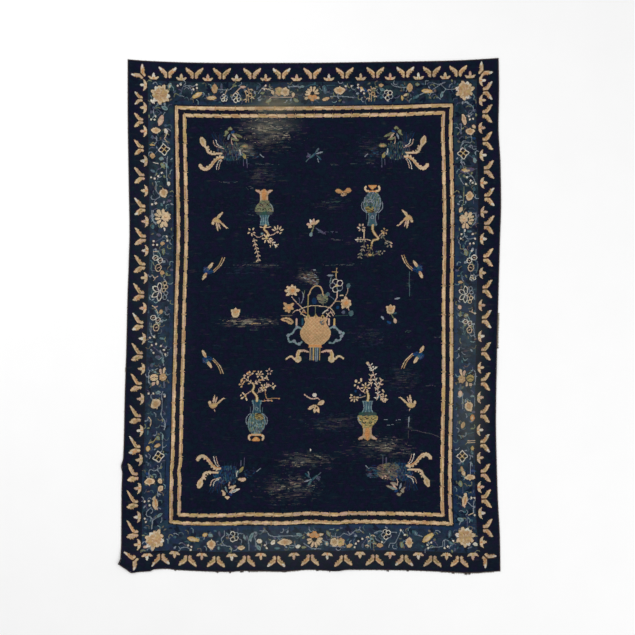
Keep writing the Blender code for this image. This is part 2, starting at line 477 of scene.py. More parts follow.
class Motif:
    """A motif's own drawing frame, in steps of one photograph pixel, y up the motif."""

    def __init__(self, origin, right, up):
        self.origin = np.asarray(origin, float)
        self.right = np.asarray(right, float)
        self.up = np.asarray(up, float)

    def knots(self, points):
        """Points of this frame as knots of the chart."""
        points = np.atleast_2d(np.asarray(points, float))
        return self.origin + points[:, :1] * self.right + points[:, 1:] * self.up

    def inner(self, x, y, turn=0.0, size=1.0, mirror=1):
        """A frame inside this one, turned anticlockwise by degrees."""
        c, s = cos(radians(turn)) * size, sin(radians(turn)) * size
        right = (c * self.right + s * self.up) * mirror
        up = c * self.up - s * self.right
        return Motif(self.knots((x, y))[0], right, up)

    def patch(self, points, yarn, rim=None, smooth=True):
        """Knot the inside of an outline, smooth unless it says otherwise."""
        knots = self.knots(points)
        fill_outline(rounded(knots, True) if smooth else knots, yarn, rim)

    def flecks(self, points, yarns, share=1.0, wide=1, high=2):
        """Knot a share of an outline in short dashes of several yarns."""
        view, across, up, inside = inside_of(rounded(self.knots(points), True))
        fleck(view, across, up, inside, yarns, share, wide, high)

    def lattice(self, points, pitch, strand, hearts):
        """Slanting strands over an outline, with a spot in each diamond between them."""
        view, across, up, inside = inside_of(rounded(self.knots(points), True))
        over, under = (across + up) // 1 % pitch, (across - up) // 1 % pitch
        part = chart[view]
        part[inside & ((over == 0) | (under == 0))] = strand
        middle = inside & (over == pitch // 2) & (under == pitch // 2)
        luck = chance(across // 1, up // 1)
        for k, yarn in enumerate(hearts):
            part[middle & (luck * len(hearts) // 1 == k)] = yarn

    def line(self, points, width, yarn, rim=None, end_width=None, closed=False):
        """Knot a smooth line that may widen or narrow to end_width."""
        knots = self.knots(points)
        if closed:
            path = rounded(knots, True)
            path = np.vstack([path, path[:1]])
        else:
            path = rounded(knots, False)
        step = hypot(*self.up)
        last = width if end_width is None else end_width
        widths = np.maximum(np.linspace(width, last, len(path)) * step, THINNEST)
        fill_line(path, list(widths), yarn, rim)

    def petal(self, base, tip, width, yarn, core=None, rim=None, widest=0.58):
        """A pointed oval from base to tip, with its own darker heart if core is given."""
        base, tip = np.asarray(base, float), np.asarray(tip, float)
        along = tip - base
        side = np.array([-along[1], along[0]]) / max(hypot(*along), 1e-6) * width / 2
        shape = ((0.0, 0.25), (0.22, 0.72), (widest, 1.0), (0.86, 0.62), (1.0, 0.0))
        left = [base + along * t + side * w for t, w in shape]
        right = [base + along * t - side * w for t, w in reversed(shape[:-1])]
        self.patch(left + right, yarn, rim)
        if core is not None:
            self.petal(base, base + along * 0.62, width * 0.5, core)

    def disc(self, x, y, radius, yarn, rim=None, squash=1.0):
        """A round spot, taller or flatter by squash."""
        ring = [
            (x + radius * cos(radians(a)), y + radius * squash * sin(radians(a)))
            for a in range(0, 360, 30)
        ]
        self.patch(ring, yarn, rim)


def upright(origin):
    """A motif's frame at a place in knots."""
    return Motif(origin, (STEP, 0), (0, STEP))


def motif_at(photo_x, photo_y, turn=0.0, size=1.0, mirror=1):
    """A motif's frame at a place in the photograph."""
    return upright(knot_at(photo_x, photo_y)).inner(0, 0, turn, size, mirror)


def photo_path(points):
    """A smooth path, in knots, through places in the photograph."""
    return rounded(np.array([knot_at(*point) for point in points]), False)


# ---------------------------------------------------------------- bands

SIDES = ("left", "right", "bottom", "top")
INWARD = {"left": (1, 0), "right": (-1, 0), "bottom": (0, 1), "top": (0, -1)}


def from_side(side, along, inset):
    """A point along a side, from 0 to 1, and inset metres in from the outline, in knots."""
    u_in, v_in = inset / WIDTH, inset / LENGTH
    reach_u = u_in + along * (1 - 2 * u_in)
    reach_v = v_in + along * (1 - 2 * v_in)
    u, v = {
        "left": (u_in, reach_v),
        "right": (1 - u_in, reach_v),
        "bottom": (reach_u, v_in),
        "top": (reach_u, 1 - v_in),
    }[side]
    return in_knots(u, v)


Inset = namedtuple("Inset", "left right bottom top")  # metres in from the outline
GUARD_IN = Inset(0.141, 0.155, 0.137, 0.132)  # where the butterflies' border ends
OUTER_BAND = Inset(0.3595, 0.3485, 0.3490, 0.3285)  # the middle lines of the two tan bands
INNER_BAND = Inset(0.4185, 0.4050, 0.4095, 0.3828)
BAND_HALF = 0.0120
BAND_OUTLINE = 0.0080
DARK_LINE = 0.007
BEADS = 28  # along each side of a band, with a brown tie after every second one
OUTER_WAVE = 0.0030  # how far a band's two edges swing in and out
INNER_WAVE = 0.0062


def moved(inset, by):
    """The same insets, moved in or out by one amount."""
    return Inset(*(line + by for line in inset))


BORDER_IN = moved(OUTER_BAND, -BAND_HALF - BAND_OUTLINE)
FIELD_IN = moved(INNER_BAND, BAND_HALF)


def frame_corners(inset):
    """The low left and the high right corner of a frame, in knots."""
    low = (from_side("left", 0, inset.left)[0], from_side("bottom", 0, inset.bottom)[1])
    high = (from_side("right", 0, inset.right)[0], from_side("top", 0, inset.top)[1])
    return np.array(low), np.array(high)


def plain_band(outer, inner, yarn):
    """A frame of one colour between two insets."""
    whole = np.zeros(chart.shape, bool)
    for inset, state in ((outer, True), (inner, False)):
        low, high = np.round(frame_corners(inset)).astype(int)
        whole[low[1] : high[1], low[0] : high[0]] = state
    chart[whole] = yarn


def corner_point(side, along, inset):
    """A point of a frame's side in knots, where along runs from one corner to the next."""
    low, high = frame_corners(inset)
    share = {
        "left": (0, along),
        "right": (1, along),
        "bottom": (along, 0),
        "top": (along, 1),
    }
    return low + (high - low) * share[side]


def beaded_band(middle, tie):
    """A tan frame whose edges swell and narrow in even beads, each of its own shades."""
    shades = (BAND_LIGHT, BAND_LIGHT, TAN, BAND_LIGHT, GOLD, BAND_LIGHT, ROSE, WARM)
    for side in SIDES:
        outer, inner = [], []
        for k in range(BEADS * 8 + 1):
            along = k / (BEADS * 8)
            swing = abs(sin(pi * along * BEADS)) - 0.6
            outer.append(corner_point(side, along, moved(middle, -BAND_HALF - OUTER_WAVE * swing)))
            inner.append(corner_point(side, along, moved(middle, BAND_HALF + INNER_WAVE * swing)))
        fill_outline(np.array(outer + inner[::-1]), BAND)
        inward = np.array(INWARD[side])
        for k in range(BEADS):
            for way in (-1, 1):
                luck = chance(k, middle.left * 1000 + way, SIDES.index(side))
                start = corner_point(side, (k + 0.04 + 0.12 * luck) / BEADS, middle)
                end = corner_point(side, (k + 0.98 - 0.14 * luck) / BEADS, middle)
                aside = inward * way * BAND_HALF / KNOT * 0.42
                line = np.array([start, (start + end) / 2, end]) + aside
                fill_line(line, [1.5, 2.7, 1.5], shades[int(luck * len(shades))])
            if k % 2 == 0:
                here = corner_point(side, k / BEADS, middle)
                reach = inward * 1.2 * BAND_HALF / KNOT
                fill_line([here - reach, here + reach], [1.2, 1.2], tie)


# The mid blue line along the inner side of the border: from how far out to how far out of
# its end, in metres.
BLUE_LINE = 0.028
BLUE_LINE_END = 0.003


def bands():
    """The plain grounds of the borders and the field, and the two beaded bands."""
    zero = Inset(0.0, 0.0, 0.0, 0.0)
    plain_band(zero, GUARD_IN, GUARD)
    plain_band(GUARD_IN, moved(GUARD_IN, DARK_LINE), DEEP)
    plain_band(moved(GUARD_IN, DARK_LINE), BORDER_IN, BORDER)
    plain_band(moved(BORDER_IN, -BLUE_LINE), moved(BORDER_IN, -BLUE_LINE_END), LINE)
    plain_band(BORDER_IN, FIELD_IN, DEEP)
    beaded_band(OUTER_BAND, WARM)
    beaded_band(INNER_BAND, TAN)


# ---------------------------------------------------------------- guard border motifs


def butterfly(m, kind=0):
    """Wings spread towards the carpet's edge, stepped below, with two lobes under them."""
    tip_yarn = (IVORY, LIGHT, BAND_LIGHT, LIGHT)[kind % 4]
    for side in (-1, 1):
        wing = [(0.6, -4.4), (1, -5.3), (3.2, -5.4), (3.9, -4.5), (3.4, -2.6), (4.4, -2.3)]
        wing += [(4.8, -0.6), (6.4, -0.5), (6.7, 1.4), (8.1, 1.5), (8.3, 3.6), (9.1, 6.4)]
        wing += [(7.4, 5.5), (5.4, 4.7), (3.4, 3.1), (1.9, 1.6), (0.8, 0.4)]
        m.patch([(side * x, y) for x, y in wing], TAN, BROWN, smooth=False)
        m.petal((side * 6.1, 2.5), (side * 8.9, 6.1), 2.3, tip_yarn)
        vein = BAND_LIGHT if kind % 3 else LIGHT
        m.line([(side * 1.6, 0.3), (side * 3.6, 2.4), (side * 5.6, 3.7)], 1.1, vein)
        heart = (WARM, ORANGE, GOLD, OLIVE_GOLD, ROSE)[(kind + side) % 5]
        m.line([(side * 1.5, -2.4), (side * 3.4, 0.1), (side * 5.8, 1.7)], 1.0, heart)
        m.line([(side * 1.9, -5), (side * 1.8, -2.8)], 1.5, ROSE if kind % 2 else LIGHT)
    m.line([(0, -5), (0, 0.2)], 0.7, BROWN)


def lotus_bud(m, kind=0):
    """Three pointed petals: two that curve out to the sides and one upright between them."""
    for side in (-1, 1):
        petal = [(0, -1.9), (1.9, -2), (4, -1.1), (5.7, 1.4), (3.9, 1), (2, 0.8), (0.5, -0.2)]
        m.patch([(side * x, y) for x, y in petal], LIGHT, BROWN)
        m.line([(side * 1.6, -0.9), (side * 3.4, -0.2)], 0.7, ROSE if kind % 2 else BAND_LIGHT)
    m.petal((0, -1.6), (0, 5), 2.9, (IVORY, LIGHT, ROSE)[kind % 3], None, BROWN, widest=0.5)
    m.petal((0, -1.9), (0, 1.2), 1.7, GOLD if kind % 2 else ORANGE)


# ---------------------------------------------------------------- flowers, leaves, birds


def peony(m, radius):
    """A full flower: pale pointed petals round a close golden heart."""
    for k in range(11):
        a = 2 * pi * (k + 0.22 * sin(5 * k)) / 11
        reach = radius * (1.06 + 0.10 * sin(4 * k + 1))
        tip = (reach * cos(a), reach * sin(a))
        m.petal((tip[0] * 0.3, tip[1] * 0.3), tip, 4.7, IVORY if k % 4 == 2 else LIGHT, TAN, BROWN, 0.5)
    m.disc(0, 0, radius * 0.70, TAN)
    for share, count in ((0.78, 8), (0.52, 6), (0.3, 4)):
        for k in range(count):
            a = 2 * pi * (k + share * 1.7) / count
            reach = radius * share * (1 + 0.12 * sin(3 * k))
            near, far = reach * 0.5, reach
            yarn = (GOLD, LIGHT, WARM)[(k + count) % 3]
            bend = 0.35 if k % 2 else -0.3
            strand = [(near * cos(a), near * sin(a)), (far * cos(a + bend), far * sin(a + bend))]
            m.line(strand, 0.9, yarn)


def centre_peony(m):
    """The flower in the middle of a long border: a fan of parted petals over a scalloped bowl."""
    fan = ((4, 7.4), (36, 8), (70, 8.8), (102, 8.6), (132, 7.6), (160, 7.8), (188, 8))
    for a, reach in fan:
        tip = (1.08 * reach * cos(radians(a)), 0.4 + 1.04 * reach * sin(radians(a)))
        m.petal((0, -0.4), tip, 4.6, DEEP, None, None, 0.8)
    for a, reach in fan:
        tip = (reach * cos(radians(a)), 0.4 + reach * 0.96 * sin(radians(a)))
        m.petal((0.32 * tip[0], 0.32 * tip[1]), tip, 2.5, LIGHT, BAND_LIGHT, None, 0.78)
    m.petal((-3, -3.4), (-8.6, -5.2), 2.8, LIGHT, None, BROWN)
    m.petal((3, -3.4), (7.6, -4.8), 2.8, LIGHT, None, BROWN)
    bowl = [(-4.6, -2.4), (-4.6, -4.8), (-2.4, -5.4), (-1.4, -7.4), (1.2, -7.4), (2.2, -5.6)]
    bowl += [(4.6, -5), (4.8, -2.6), (2.4, -0.8), (0, -1.6), (-2.4, -0.8)]
    m.patch(bowl, ORANGE, BROWN)
    m.petal((-3.4, -2.8), (-0.6, -5.6), 2.2, TAN)
    m.petal((3.4, -2.8), (0.8, -5.8), 2.2, WARM)


def scalloped(m, x, y, radius, petals, yarn, core, heart):
    """A round flower with scalloped petals."""
    for k in range(petals):
        a = 2 * pi * k / petals + 0.4
        tip = (x + radius * cos(a), y + radius * sin(a))
        m.petal((x, y), tip, radius * 4.4 / petals, yarn, core, BROWN, 0.8)
    m.disc(x, y, radius * 0.5, core)
    fold = [(x - radius * 0.3, y), (x, y - radius * 0.2), (x + radius * 0.3, y + radius * 0.1)]
    m.line(fold, 0.8, heart)


def two_lobed_flower(m):
    """A full scalloped flower with a whorl of parted petals beside it."""
    whorl = (
        ((-1, 3.8), (-5.4, 9.4), 4.4),
        ((1.2, 4.8), (1, 10.2), 3.6),
        ((-2, 2.4), (-8.4, 4.8), 3.2),
        ((-2, 0.2), (-8.4, -0.2), 3.0),
        ((-1.4, -1.6), (-5.8, -4.8), 3.2),
        ((0.8, -3.4), (-1.4, -9.8), 4.2),
        ((3, -3.4), (4.6, -9.6), 4.2),
    )
    for base, tip, width in whorl:
        m.petal(base, tip, width + 1.6, DEEP)
    for base, tip, width in whorl:
        m.petal(base, tip, width, LIGHT, BAND_LIGHT, None, 0.72)
    m.line([(-7, 2.4), (-3, 1.4)], 0.7, DEEP)
    scalloped(m, 4.0, 1.8, 5.6, 8, LIGHT, BAND_LIGHT, WARM)
    m.line([(-9.8, 8.6), (-10.6, 2.6), (-9.6, -2.8), (-6.8, -6.2)], 1.0, MIST, DEEP)
    m.line([(2.2, -10.4), (2.4, -13)], 1.4, IVORY)


def shell_flower(m, shell=OLIVE_GOLD):
    """A small full flower and a round ribbed shell of petals, with pale ones over them."""
    for base, tip, width, yarn in (
        ((-4.6, 2.6), (-6.4, 9.4), 2.8, LIGHT),
        ((-2.4, 2.4), (-1.4, 8), 2.8, ROSE),
        ((2.4, 4.2), (7.6, 8.4), 2.0, PALE),
        ((1.2, -3), (0.6, -8.4), 2.6, LIGHT),
        ((4, -3.8), (6.2, -8.4), 3.4, ROSE),
    ):
        m.petal(base, tip, width + 1.2, DEEP)
        m.petal(base, tip, width, yarn, None, None, 0.7)
    m.line([(-1.2, 3.6), (2, 6.4), (6.2, 6.2), (9.4, 2.6)], 0.9, BROWN)
    m.disc(4.7, -0.2, 4.7, DEEP)
    m.disc(4.7, -0.2, 4.2, shell, None, 0.86)
    m.line([(1.8, 1.2), (4.8, 2.4), (8, 1)], 0.7, GOLD)
    m.line([(1.4, -0.8), (4.8, 0.4), (8.4, -1)], 0.7, BROWN)
    m.line([(2.6, -2.2), (5, -1.2), (7.4, -2.4)], 0.7, GOLD)
    scalloped(m, -4.6, -1.0, 4.2, 7, TAN, WARM, LIGHT)
    m.line([(9.4, 7.6), (10.8, 2.4), (10.4, -3), (8.6, -7)], 0.8, MIST, DEEP)
    m.line([(-5.8, -6.6), (-6.6, -11.6)], 2.2, SLATE, DEEP)


def twin_blossom(m, wide=12.6, high=9.0):
    """Two round lobes side by side on a short stem."""
    scalloped(m, -wide * 0.24, 0, high * 0.52, 6, TAN, GOLD, OLIVE)
    scalloped(m, wide * 0.24, -0.4, high * 0.52, 6, LIGHT, TAN, WARM)


def cloud_blossom(m, wide, high):
    """A small flower seen from the side, with a raised middle."""
    half, tall = wide / 2, high / 2
    outline = [
        (-half, 0.1 * tall),
        (-0.62 * half, 0.62 * tall),
        (-0.2 * half, 0.66 * tall),
        (0, tall),
        (0.26 * half, 0.64 * tall),
        (0.66 * half, 0.55 * tall),
        (half, 0),
        (0.6 * half, -0.55 * tall),
        (0.2 * half, -tall),
        (-0.3 * half, -0.8 * tall),
        (-0.7 * half, -0.6 * tall),
    ]
    m.patch(outline, LIGHT, BROWN)
    m.patch([(x * 0.62, y * 0.66) for x, y in outline], TAN)
    m.petal((0, -0.5 * tall), (0, 0.6 * tall), high * 0.3, WARM)


def ring(m, x, y, wide, high, yarn, inside=DEEP, width=0.75):
    """A petal knotted as an outline."""
    shape = [(x + wide / 2 * cos(radians(a)), y + high / 2 * sin(radians(a))) for a in range(0, 360, 45)]
    m.patch(shape, inside)
    m.line(shape, width, yarn, closed=True)


def outlined_blossom(m, radius):
    """Five round petals knotted as outlines only."""
    for k in range(5):
        a = radians(90 + 72 * k)
        wide = 0.84 * radius
        ring(m, 0.58 * radius * cos(a), 0.58 * radius * sin(a), wide, wide, MIST if k % 2 else IVORY)
    m.disc(0, 0, 0.2 * radius, GOLD)


def diamond_blossom(m, radius=5.8):
    """A square flower standing on its corner, outlined in ivory round four dark petals."""
    corners = [(0, radius), (radius * 0.52, radius * 0.42), (radius, 0), (radius * 0.52, -radius * 0.42)]
    corners += [(-x, -y) for x, y in corners]
    m.patch(corners, DEEP, None, smooth=False)
    m.line([*corners, corners[0]], 0.8, IVORY)
    for side in (-1, 1):
        m.line([(-radius * 0.42, -side * radius * 0.4), (radius * 0.42, side * radius * 0.4)], 0.85, GOLD)
    m.disc(0, 0, 0.8, LIGHT)


def three_lobed_blossom(m):
    """A climbing chain of outlined petals, each with a dark heart."""
    for x, y, wide, high in ((-3.4, 5.6, 5.4, 4.8), (1.6, 2.8, 4.6, 5.4), (-0.2, -4.4, 5.8, 7)):
        ring(m, x, y, wide, high, IVORY if y > 1 else LIGHT)
        m.line([(x - wide * 0.16, y - 0.4), (x + wide * 0.22, y + 0.5)], 0.6, ROSE)
    m.petal((3.6, 1.4), (7.2, 0.8), 2.8, MIST, None, DEEP)
    m.line([(1.6, 5.6), (1.2, 9), (-1.6, 13.2)], 0.9, PALE)
    m.line([(-6.6, 1.6), (-7.4, -4), (-6, -9.4)], 0.9, STEEL)


def outlined_cluster(m):
    """A big flower of pointed petals knotted as outlines, with a column of small ones beside it."""
    base = np.array((-0.6, 0.2))
    for x, y, width in ((-8.8, 5.6, 4.8), (-1.8, 10, 4.6), (-9.4, -5.4, 4.8), (-1.6, -10.2, 4.6)):
        along = np.array((x, y)) - base
        m.petal(base, (x, y), width + 0.8, IVORY)
        m.petal(base + along * 0.14, base + along * 0.88, width - 0.8, DEEP)
        m.line([base, base + along * 0.5], 0.6, SLATE)
    for x, y, wide, high in (
        (4.2, 8.4, 3.8, 4.2), (5.6, 4.4, 4.2, 3.8), (3.4, 1.0, 3.6, 4), (5.8, -2.2, 4.2, 3.8),
        (4.6, -6.6, 4, 4.6),
    ):
        ring(m, x, y, wide, high, LIGHT if y > 0 else MIST, DEEP, 0.6)


def bud(m, yarn, wide, high):
    """A closed flower, pointed at the top."""
    m.petal((0, -high / 2), (0, high / 2), wide, yarn, None, BROWN, 0.45)
    if wide > 3.8 and high > 4:
        m.petal((0, -high * 0.36), (0, high * 0.2), wide * 0.4, {TAN: WARM, LIGHT: TAN}.get(yarn, LIGHT))


def leaf(m, yarn, wide, high):
    """A pointed leaf, with a vein where it is broad."""
    m.petal((0, -high / 2), (0, high / 2), wide, yarn, None, DEEP, 0.45)
    if wide > 2.8:
        vein = {PALE: TEAL, TEAL: PALE, OLIVE: PALE}.get(yarn, SLATE)
        m.line([(0, -high * 0.3), (0, high * 0.2)], 0.6, vein)


def stem(points, yarn):
    """A thin stem through places in the photograph."""
    path = photo_path(points)
    fill_line(path, [THINNEST] * len(path), yarn)


def small_bird(m, yarn):
    """A flying bird in the border: a long body, a paler wing, its tail to the left."""
    m.petal((-5.8, -1.6), (5.4, 1.2), 4.6, yarn, None, BROWN, 0.62)
    m.petal((-2.6, -0.4), (2.8, 1.2), 2.2, LIGHT)
    m.petal((0.4, -1.2), (4.2, 0.4), 1.8, TAN if yarn == GOLD else GOLD)
    m.line([(-5.2, -1.4), (-8.2, -2.4)], 0.6, SLATE)


def long_bird(m):
    """A long-bodied bird climbing the side border."""
    m.petal((0, -7.2), (0, 4.8), 5.6, LIGHT, None, BROWN, 0.56)
    m.petal((0.6, -5.6), (0.4, 3.6), 2.6, TAN)
    m.line([(0.8, -3.6), (0.6, 2)], 0.9, ORANGE)
    m.disc(-0.4, 5.0, 1.6, LIGHT)
    m.petal((0.4, -5.6), (1.6, -8.2), 1.4, ROSE)


def rock(m, yarn):
    """A pierced garden rock of thin upright ribs with short ledges."""
    for x, lean in ((-3.6, 0.6), (-0.8, -0.4), (2.2, 0.5)):
        rib = [(x, -8.0), (x + lean, -2.0), (x - lean, 3.0), (x + 2 * lean, 7.6 - abs(x))]
        m.line(rib, 0.75, yarn if x < 2 else OLIVE)
    for x, y in ((-3.6, 2.6), (1.6, 4.4), (-1.2, -1.4), (3, -3.8), (-4.2, -5.8)):
        m.line([(x - 1.6, y), (x, y + 0.9), (x + 1.8, y - 0.2)], 0.8, LIGHT)
    ring(m, 0.8, -0.6, 3.2, 3.6, yarn, BROWN)


# ---------------------------------------------------------------- field motifs


def swallow(m, long_wing=False):
    """A swallow with a boat-shaped body, its head to the left and its tail feather raised."""
    m.petal((-0.8, 1.2), (0.8, 10), 2.0, LIGHT, ROSE, BROWN, 0.4)
    m.petal((1, 1.2), (3.2, 8), 1.6, ROSE, None, BROWN, 0.4)
    m.petal((1.6, -0.4), (10.4, 7.6), 1.7, LIGHT, TAN, BROWN, 0.45)
    m.line([(8.4, 6.2), (11.2, 7)], 0.7, LIGHT)
    if long_wing:
        m.petal((-1.4, -1.4), (5.8, -9), 2.6, LIGHT, GOLD, BROWN, 0.4)
    boat = [(-5, 2.2), (-3.4, 1.4), (-0.8, 1.8), (2.6, 1.8), (4, 0.6), (2.2, -1.8)]
    m.patch([*boat, (-0.4, -3.6), (-3, -2.8), (-4.9, -0.6)], TAN, BROWN)
    m.petal((-2.8, -1.4), (2.8, 0.4), 2.0, GOLD)
    m.disc(-4.4, 2.4, 1.5, LIGHT, BROWN)
    m.line([(0.4, -4.2), (1.2, -6.4)], 0.7, ROSE)


def ribbon_tailed_bird(m):
    """A small blue bird with two pale wings and two long parallel tail feathers."""
    m.line([(6.6, 0.6), (13.2, -5.6), (17.2, -14.2)], 0.7, TAN, BROWN)
    m.line([(8.4, 1.4), (15.8, -6.2), (19.6, -14.2)], 0.7, LIGHT, BROWN)
    m.flecks([(-3.4, 1), (2, 3.6), (7.6, 1.4), (4.4, -3.6), (-1.6, -4.2)], (FEATHER, BLUE), 0.7, 2, 1)
    m.line([(1.6, 0.2), (7.6, 0.4)], 1.4, BLUE)
    m.petal((0.8, 1.8), (-3.2, 9.6), 3.4, LIGHT, WARM, BROWN, 0.5)
    m.petal((1.8, -1), (7.2, -8.8), 3.2, LIGHT, TAN, BROWN, 0.5)
    m.disc(0.2, 0, 2.3, BLUE)
    m.disc(2.0, -1.4, 1.5, TEAL)
    m.line([(-2, -0.6), (-0.6, -2.6), (2, -3.6)], 0.7, SLATE)


def phoenix(m, leaf_yarn=LIGHT, rubbed=False):
    """Two scalloped tail plumes, a body of fine blue feathers and a fan of pale leaves."""
    for k in range(10):
        x = -11.8 + 1.7 * k
        feather = [(-0.4 + 1.0 * k, -3.0), (0.5 * x - 1.4, -9.4), (x, -17.6 - 1.8 * sin(1.3 * k))]
        m.line(feather, 0.6, (FEATHER, FADED, LINE, FADED, DUSK)[k % 5])
    for x in (2.6, 6.2, 9.8, 13.2, 15.4):
        m.line([(x, 8.0), (x + 0.5, 12.0 + sin(x))], 0.6, FADED)
    body = [(-6, 2.6), (-2, 7.6), (4.6, 9.2), (12.4, 9.2), (17.2, 5.6), (17.6, 0.4)]
    body += [(16, -6), (12.8, -9.8), (7.8, -7), (3, -9.6), (-3, -6.6), (-7, -2.4)]
    dull = leaf_yarn == OLIVE
    lively = (FEATHER, FEATHER_TEAL, LINE, FADED, FADED, BLUE)
    m.flecks(body, (FADED, GREY, DEEP, FEATHER_TEAL, LINE, VASE_GREEN) if dull else lively, 0.86, 1, 4)
    m.flecks(body, (GREY, STEEL, OLIVE) if dull else (STEEL, TEAL), 0.1, 1, 3)
    tail = [(24.2, 3), (33.4, 6.6), (36, 2.2), (28, -4)]
    m.flecks(tail, (FEATHER_TEAL, FADED, FEATHER), 0.3, 4, 1)
    m.line([(20, 14.2), (20, 8.6)], 0.6, SLATE)
    m.line([(23.6, 16.6), (23.4, 7.6)], 0.6, SLATE)
    # the upper plume, its edge scalloped below and orange above
    upper = [
        (-1, 6.1), (-4.6, 6.3), (-8.4, 8.7), (-11.4, 11.8), (-14, 15.2), (-17.2, 17.7), (-20.6, 18.2),
    ]
    m.line([*upper, (-23, 16.8), (-24.4, 14.8)], 2.2, LIGHT, BROWN, end_width=3.6)
    for x, y in ((-4, 4.7), (-7, 5.7), (-9.8, 8), (-12, 10.7), (-14.4, 13.7), (-17.6, 15.8)):
        m.disc(x, y, 0.95, LIGHT, BROWN)
    m.line(upper[1:6], 1.0, TAN)
    m.line([(x - 0.4, y + 1.1) for x, y in upper[:5]], 0.7, ORANGE)
    # the lower plume, ending in a leaf-shaped club
    lower = [(-2.4, 2.2), (-8, 2.4), (-12.4, 2.4), (-15.9, 0.8), (-17.4, -2.8), (-20, -6)]
    m.line(lower, 1.7, LIGHT, BROWN, end_width=2.6)
    for x, y in ((-10, 1), (-12.9, 0.2), (-15, -1.8), (-15.9, -4.6)):
        m.disc(x, y, 0.85, LIGHT, BROWN)
    m.petal((-19.4, -4.6), (-23, -14.4), 6.0, LIGHT, None, BROWN, 0.5)
    m.petal((-20.2, -6.6), (-22.6, -12.8), 2.6, TAN, GOLD)
    m.line([(-15.6, 1.4), (-16, -2.4), (-16.6, -4.6)], 0.7, ROSE)
    # thin curling feathers
    for curl in (
        [(-8, 18.4), (-7.6, 15.3), (-6.6, 12.5), (-5.2, 9.8), (-2.9, 8.1)],
        [(-5.7, 18), (-4.8, 14.4), (-3.8, 11.1), (-2, 8.8)],
        [(-0.1, -2.9), (-3.8, -4.1), (-7.6, -5.2), (-9.7, -7.5), (-10.6, -11.3)],
        [(-2, -4.7), (-5.2, -6.1), (-6.9, -8), (-7.6, -11.3)],
    ):
        m.line(curl, 0.6, ROSE if curl[0][1] > -3 and curl[0][0] > -6 else IVORY)
    # the neck, the wing's pale tip, and a sprig beyond it
    m.petal((19.4, 1.6), (22.6, 7.4), 3.3, OLIVE_GOLD, OLIVE, None, 0.6)
    m.patch([(14.9, 3.6), (17.2, 4.6), (19.8, 3.6), (18.4, 0.6), (16.9, -2.8), (16, 0.4)], STEEL)
    m.line([(17.8, 3.6), (16.8, 1), (16.6, -2)], 0.7, IVORY)
    cheek = [
        (17.2, -4.9), (20, -3.7), (23.4, -3.5), (25.6, -4.8), (24.6, -6.6), (22.2, -7.4), (19.4, -6.6),
    ]
    m.patch(cheek, OLIVE if dull else LIGHT, BROWN)
    m.petal((19.4, -5.2), (24.4, -5), 1.9, WARM if dull else ROSE)
    m.line([(37.4, 3), (39, 4.4), (40.8, 6)], 0.9, MIST)
    if rubbed:
        bared = [(10.4, 8.4), (15, 9.4), (22, 8), (28, 6), (29.4, 0), (26, -6), (16, -8.6)]
        bared += [(11.4, -7), (7, -2.8), (11, 0.6), (6.4, 4.4)]
        m.flecks(bared, (KHAKI, GREY, KHAKI, KHAKI, DUSK), 0.82, 3, 1)
        m.flecks([(28, 3.4), (39.4, 4), (39, -5), (29, -6.4)], (SLATE, DUSK, FEATHER_TEAL), 0.5, 5, 1)
    # the fan of leaves below, and the round head
    left_leaf = [(0.4, -15.4), (2.2, -15.9), (3.8, -17), (5.5, -19.2), (4.1, -21.1), (2, -20.6)]
    m.patch([*left_leaf, (1.8, -17.6)], leaf_yarn, BROWN)
    m.petal((6.8, -17.8), (4.4, -11.6), 1.9, PALE if leaf_yarn == LIGHT else MIST)
    m.line([(8.8, -13.8), (8.3, -9.9), (9.3, -7.1)], 0.9, ROSE)
    m.petal((8.2, -13.2), (15.9, -11.2), 2.6, OLIVE if dull else leaf_yarn, None, BROWN, 0.4)
    m.petal((9, -17.8), (14, -12.6), 1.8, ROSE)
    long_leaf, heart = IVORY if leaf_yarn == LIGHT else leaf_yarn, KHAKI if dull else PALE
    m.petal((9.4, -18.2), (19.7, -14.3), 2.7, long_leaf, heart, BROWN, 0.4)
    m.petal((7.9, -18.6), (11.9, -20.4), 2.6, BLUE)
    crown = [(4.6, -22.4), (5.3, -21.4), (6.8, -21.9), (8.8, -21.6), (9.1, -23.1), (6.9, -24.8)]
    m.patch(crown, leaf_yarn, BROWN)


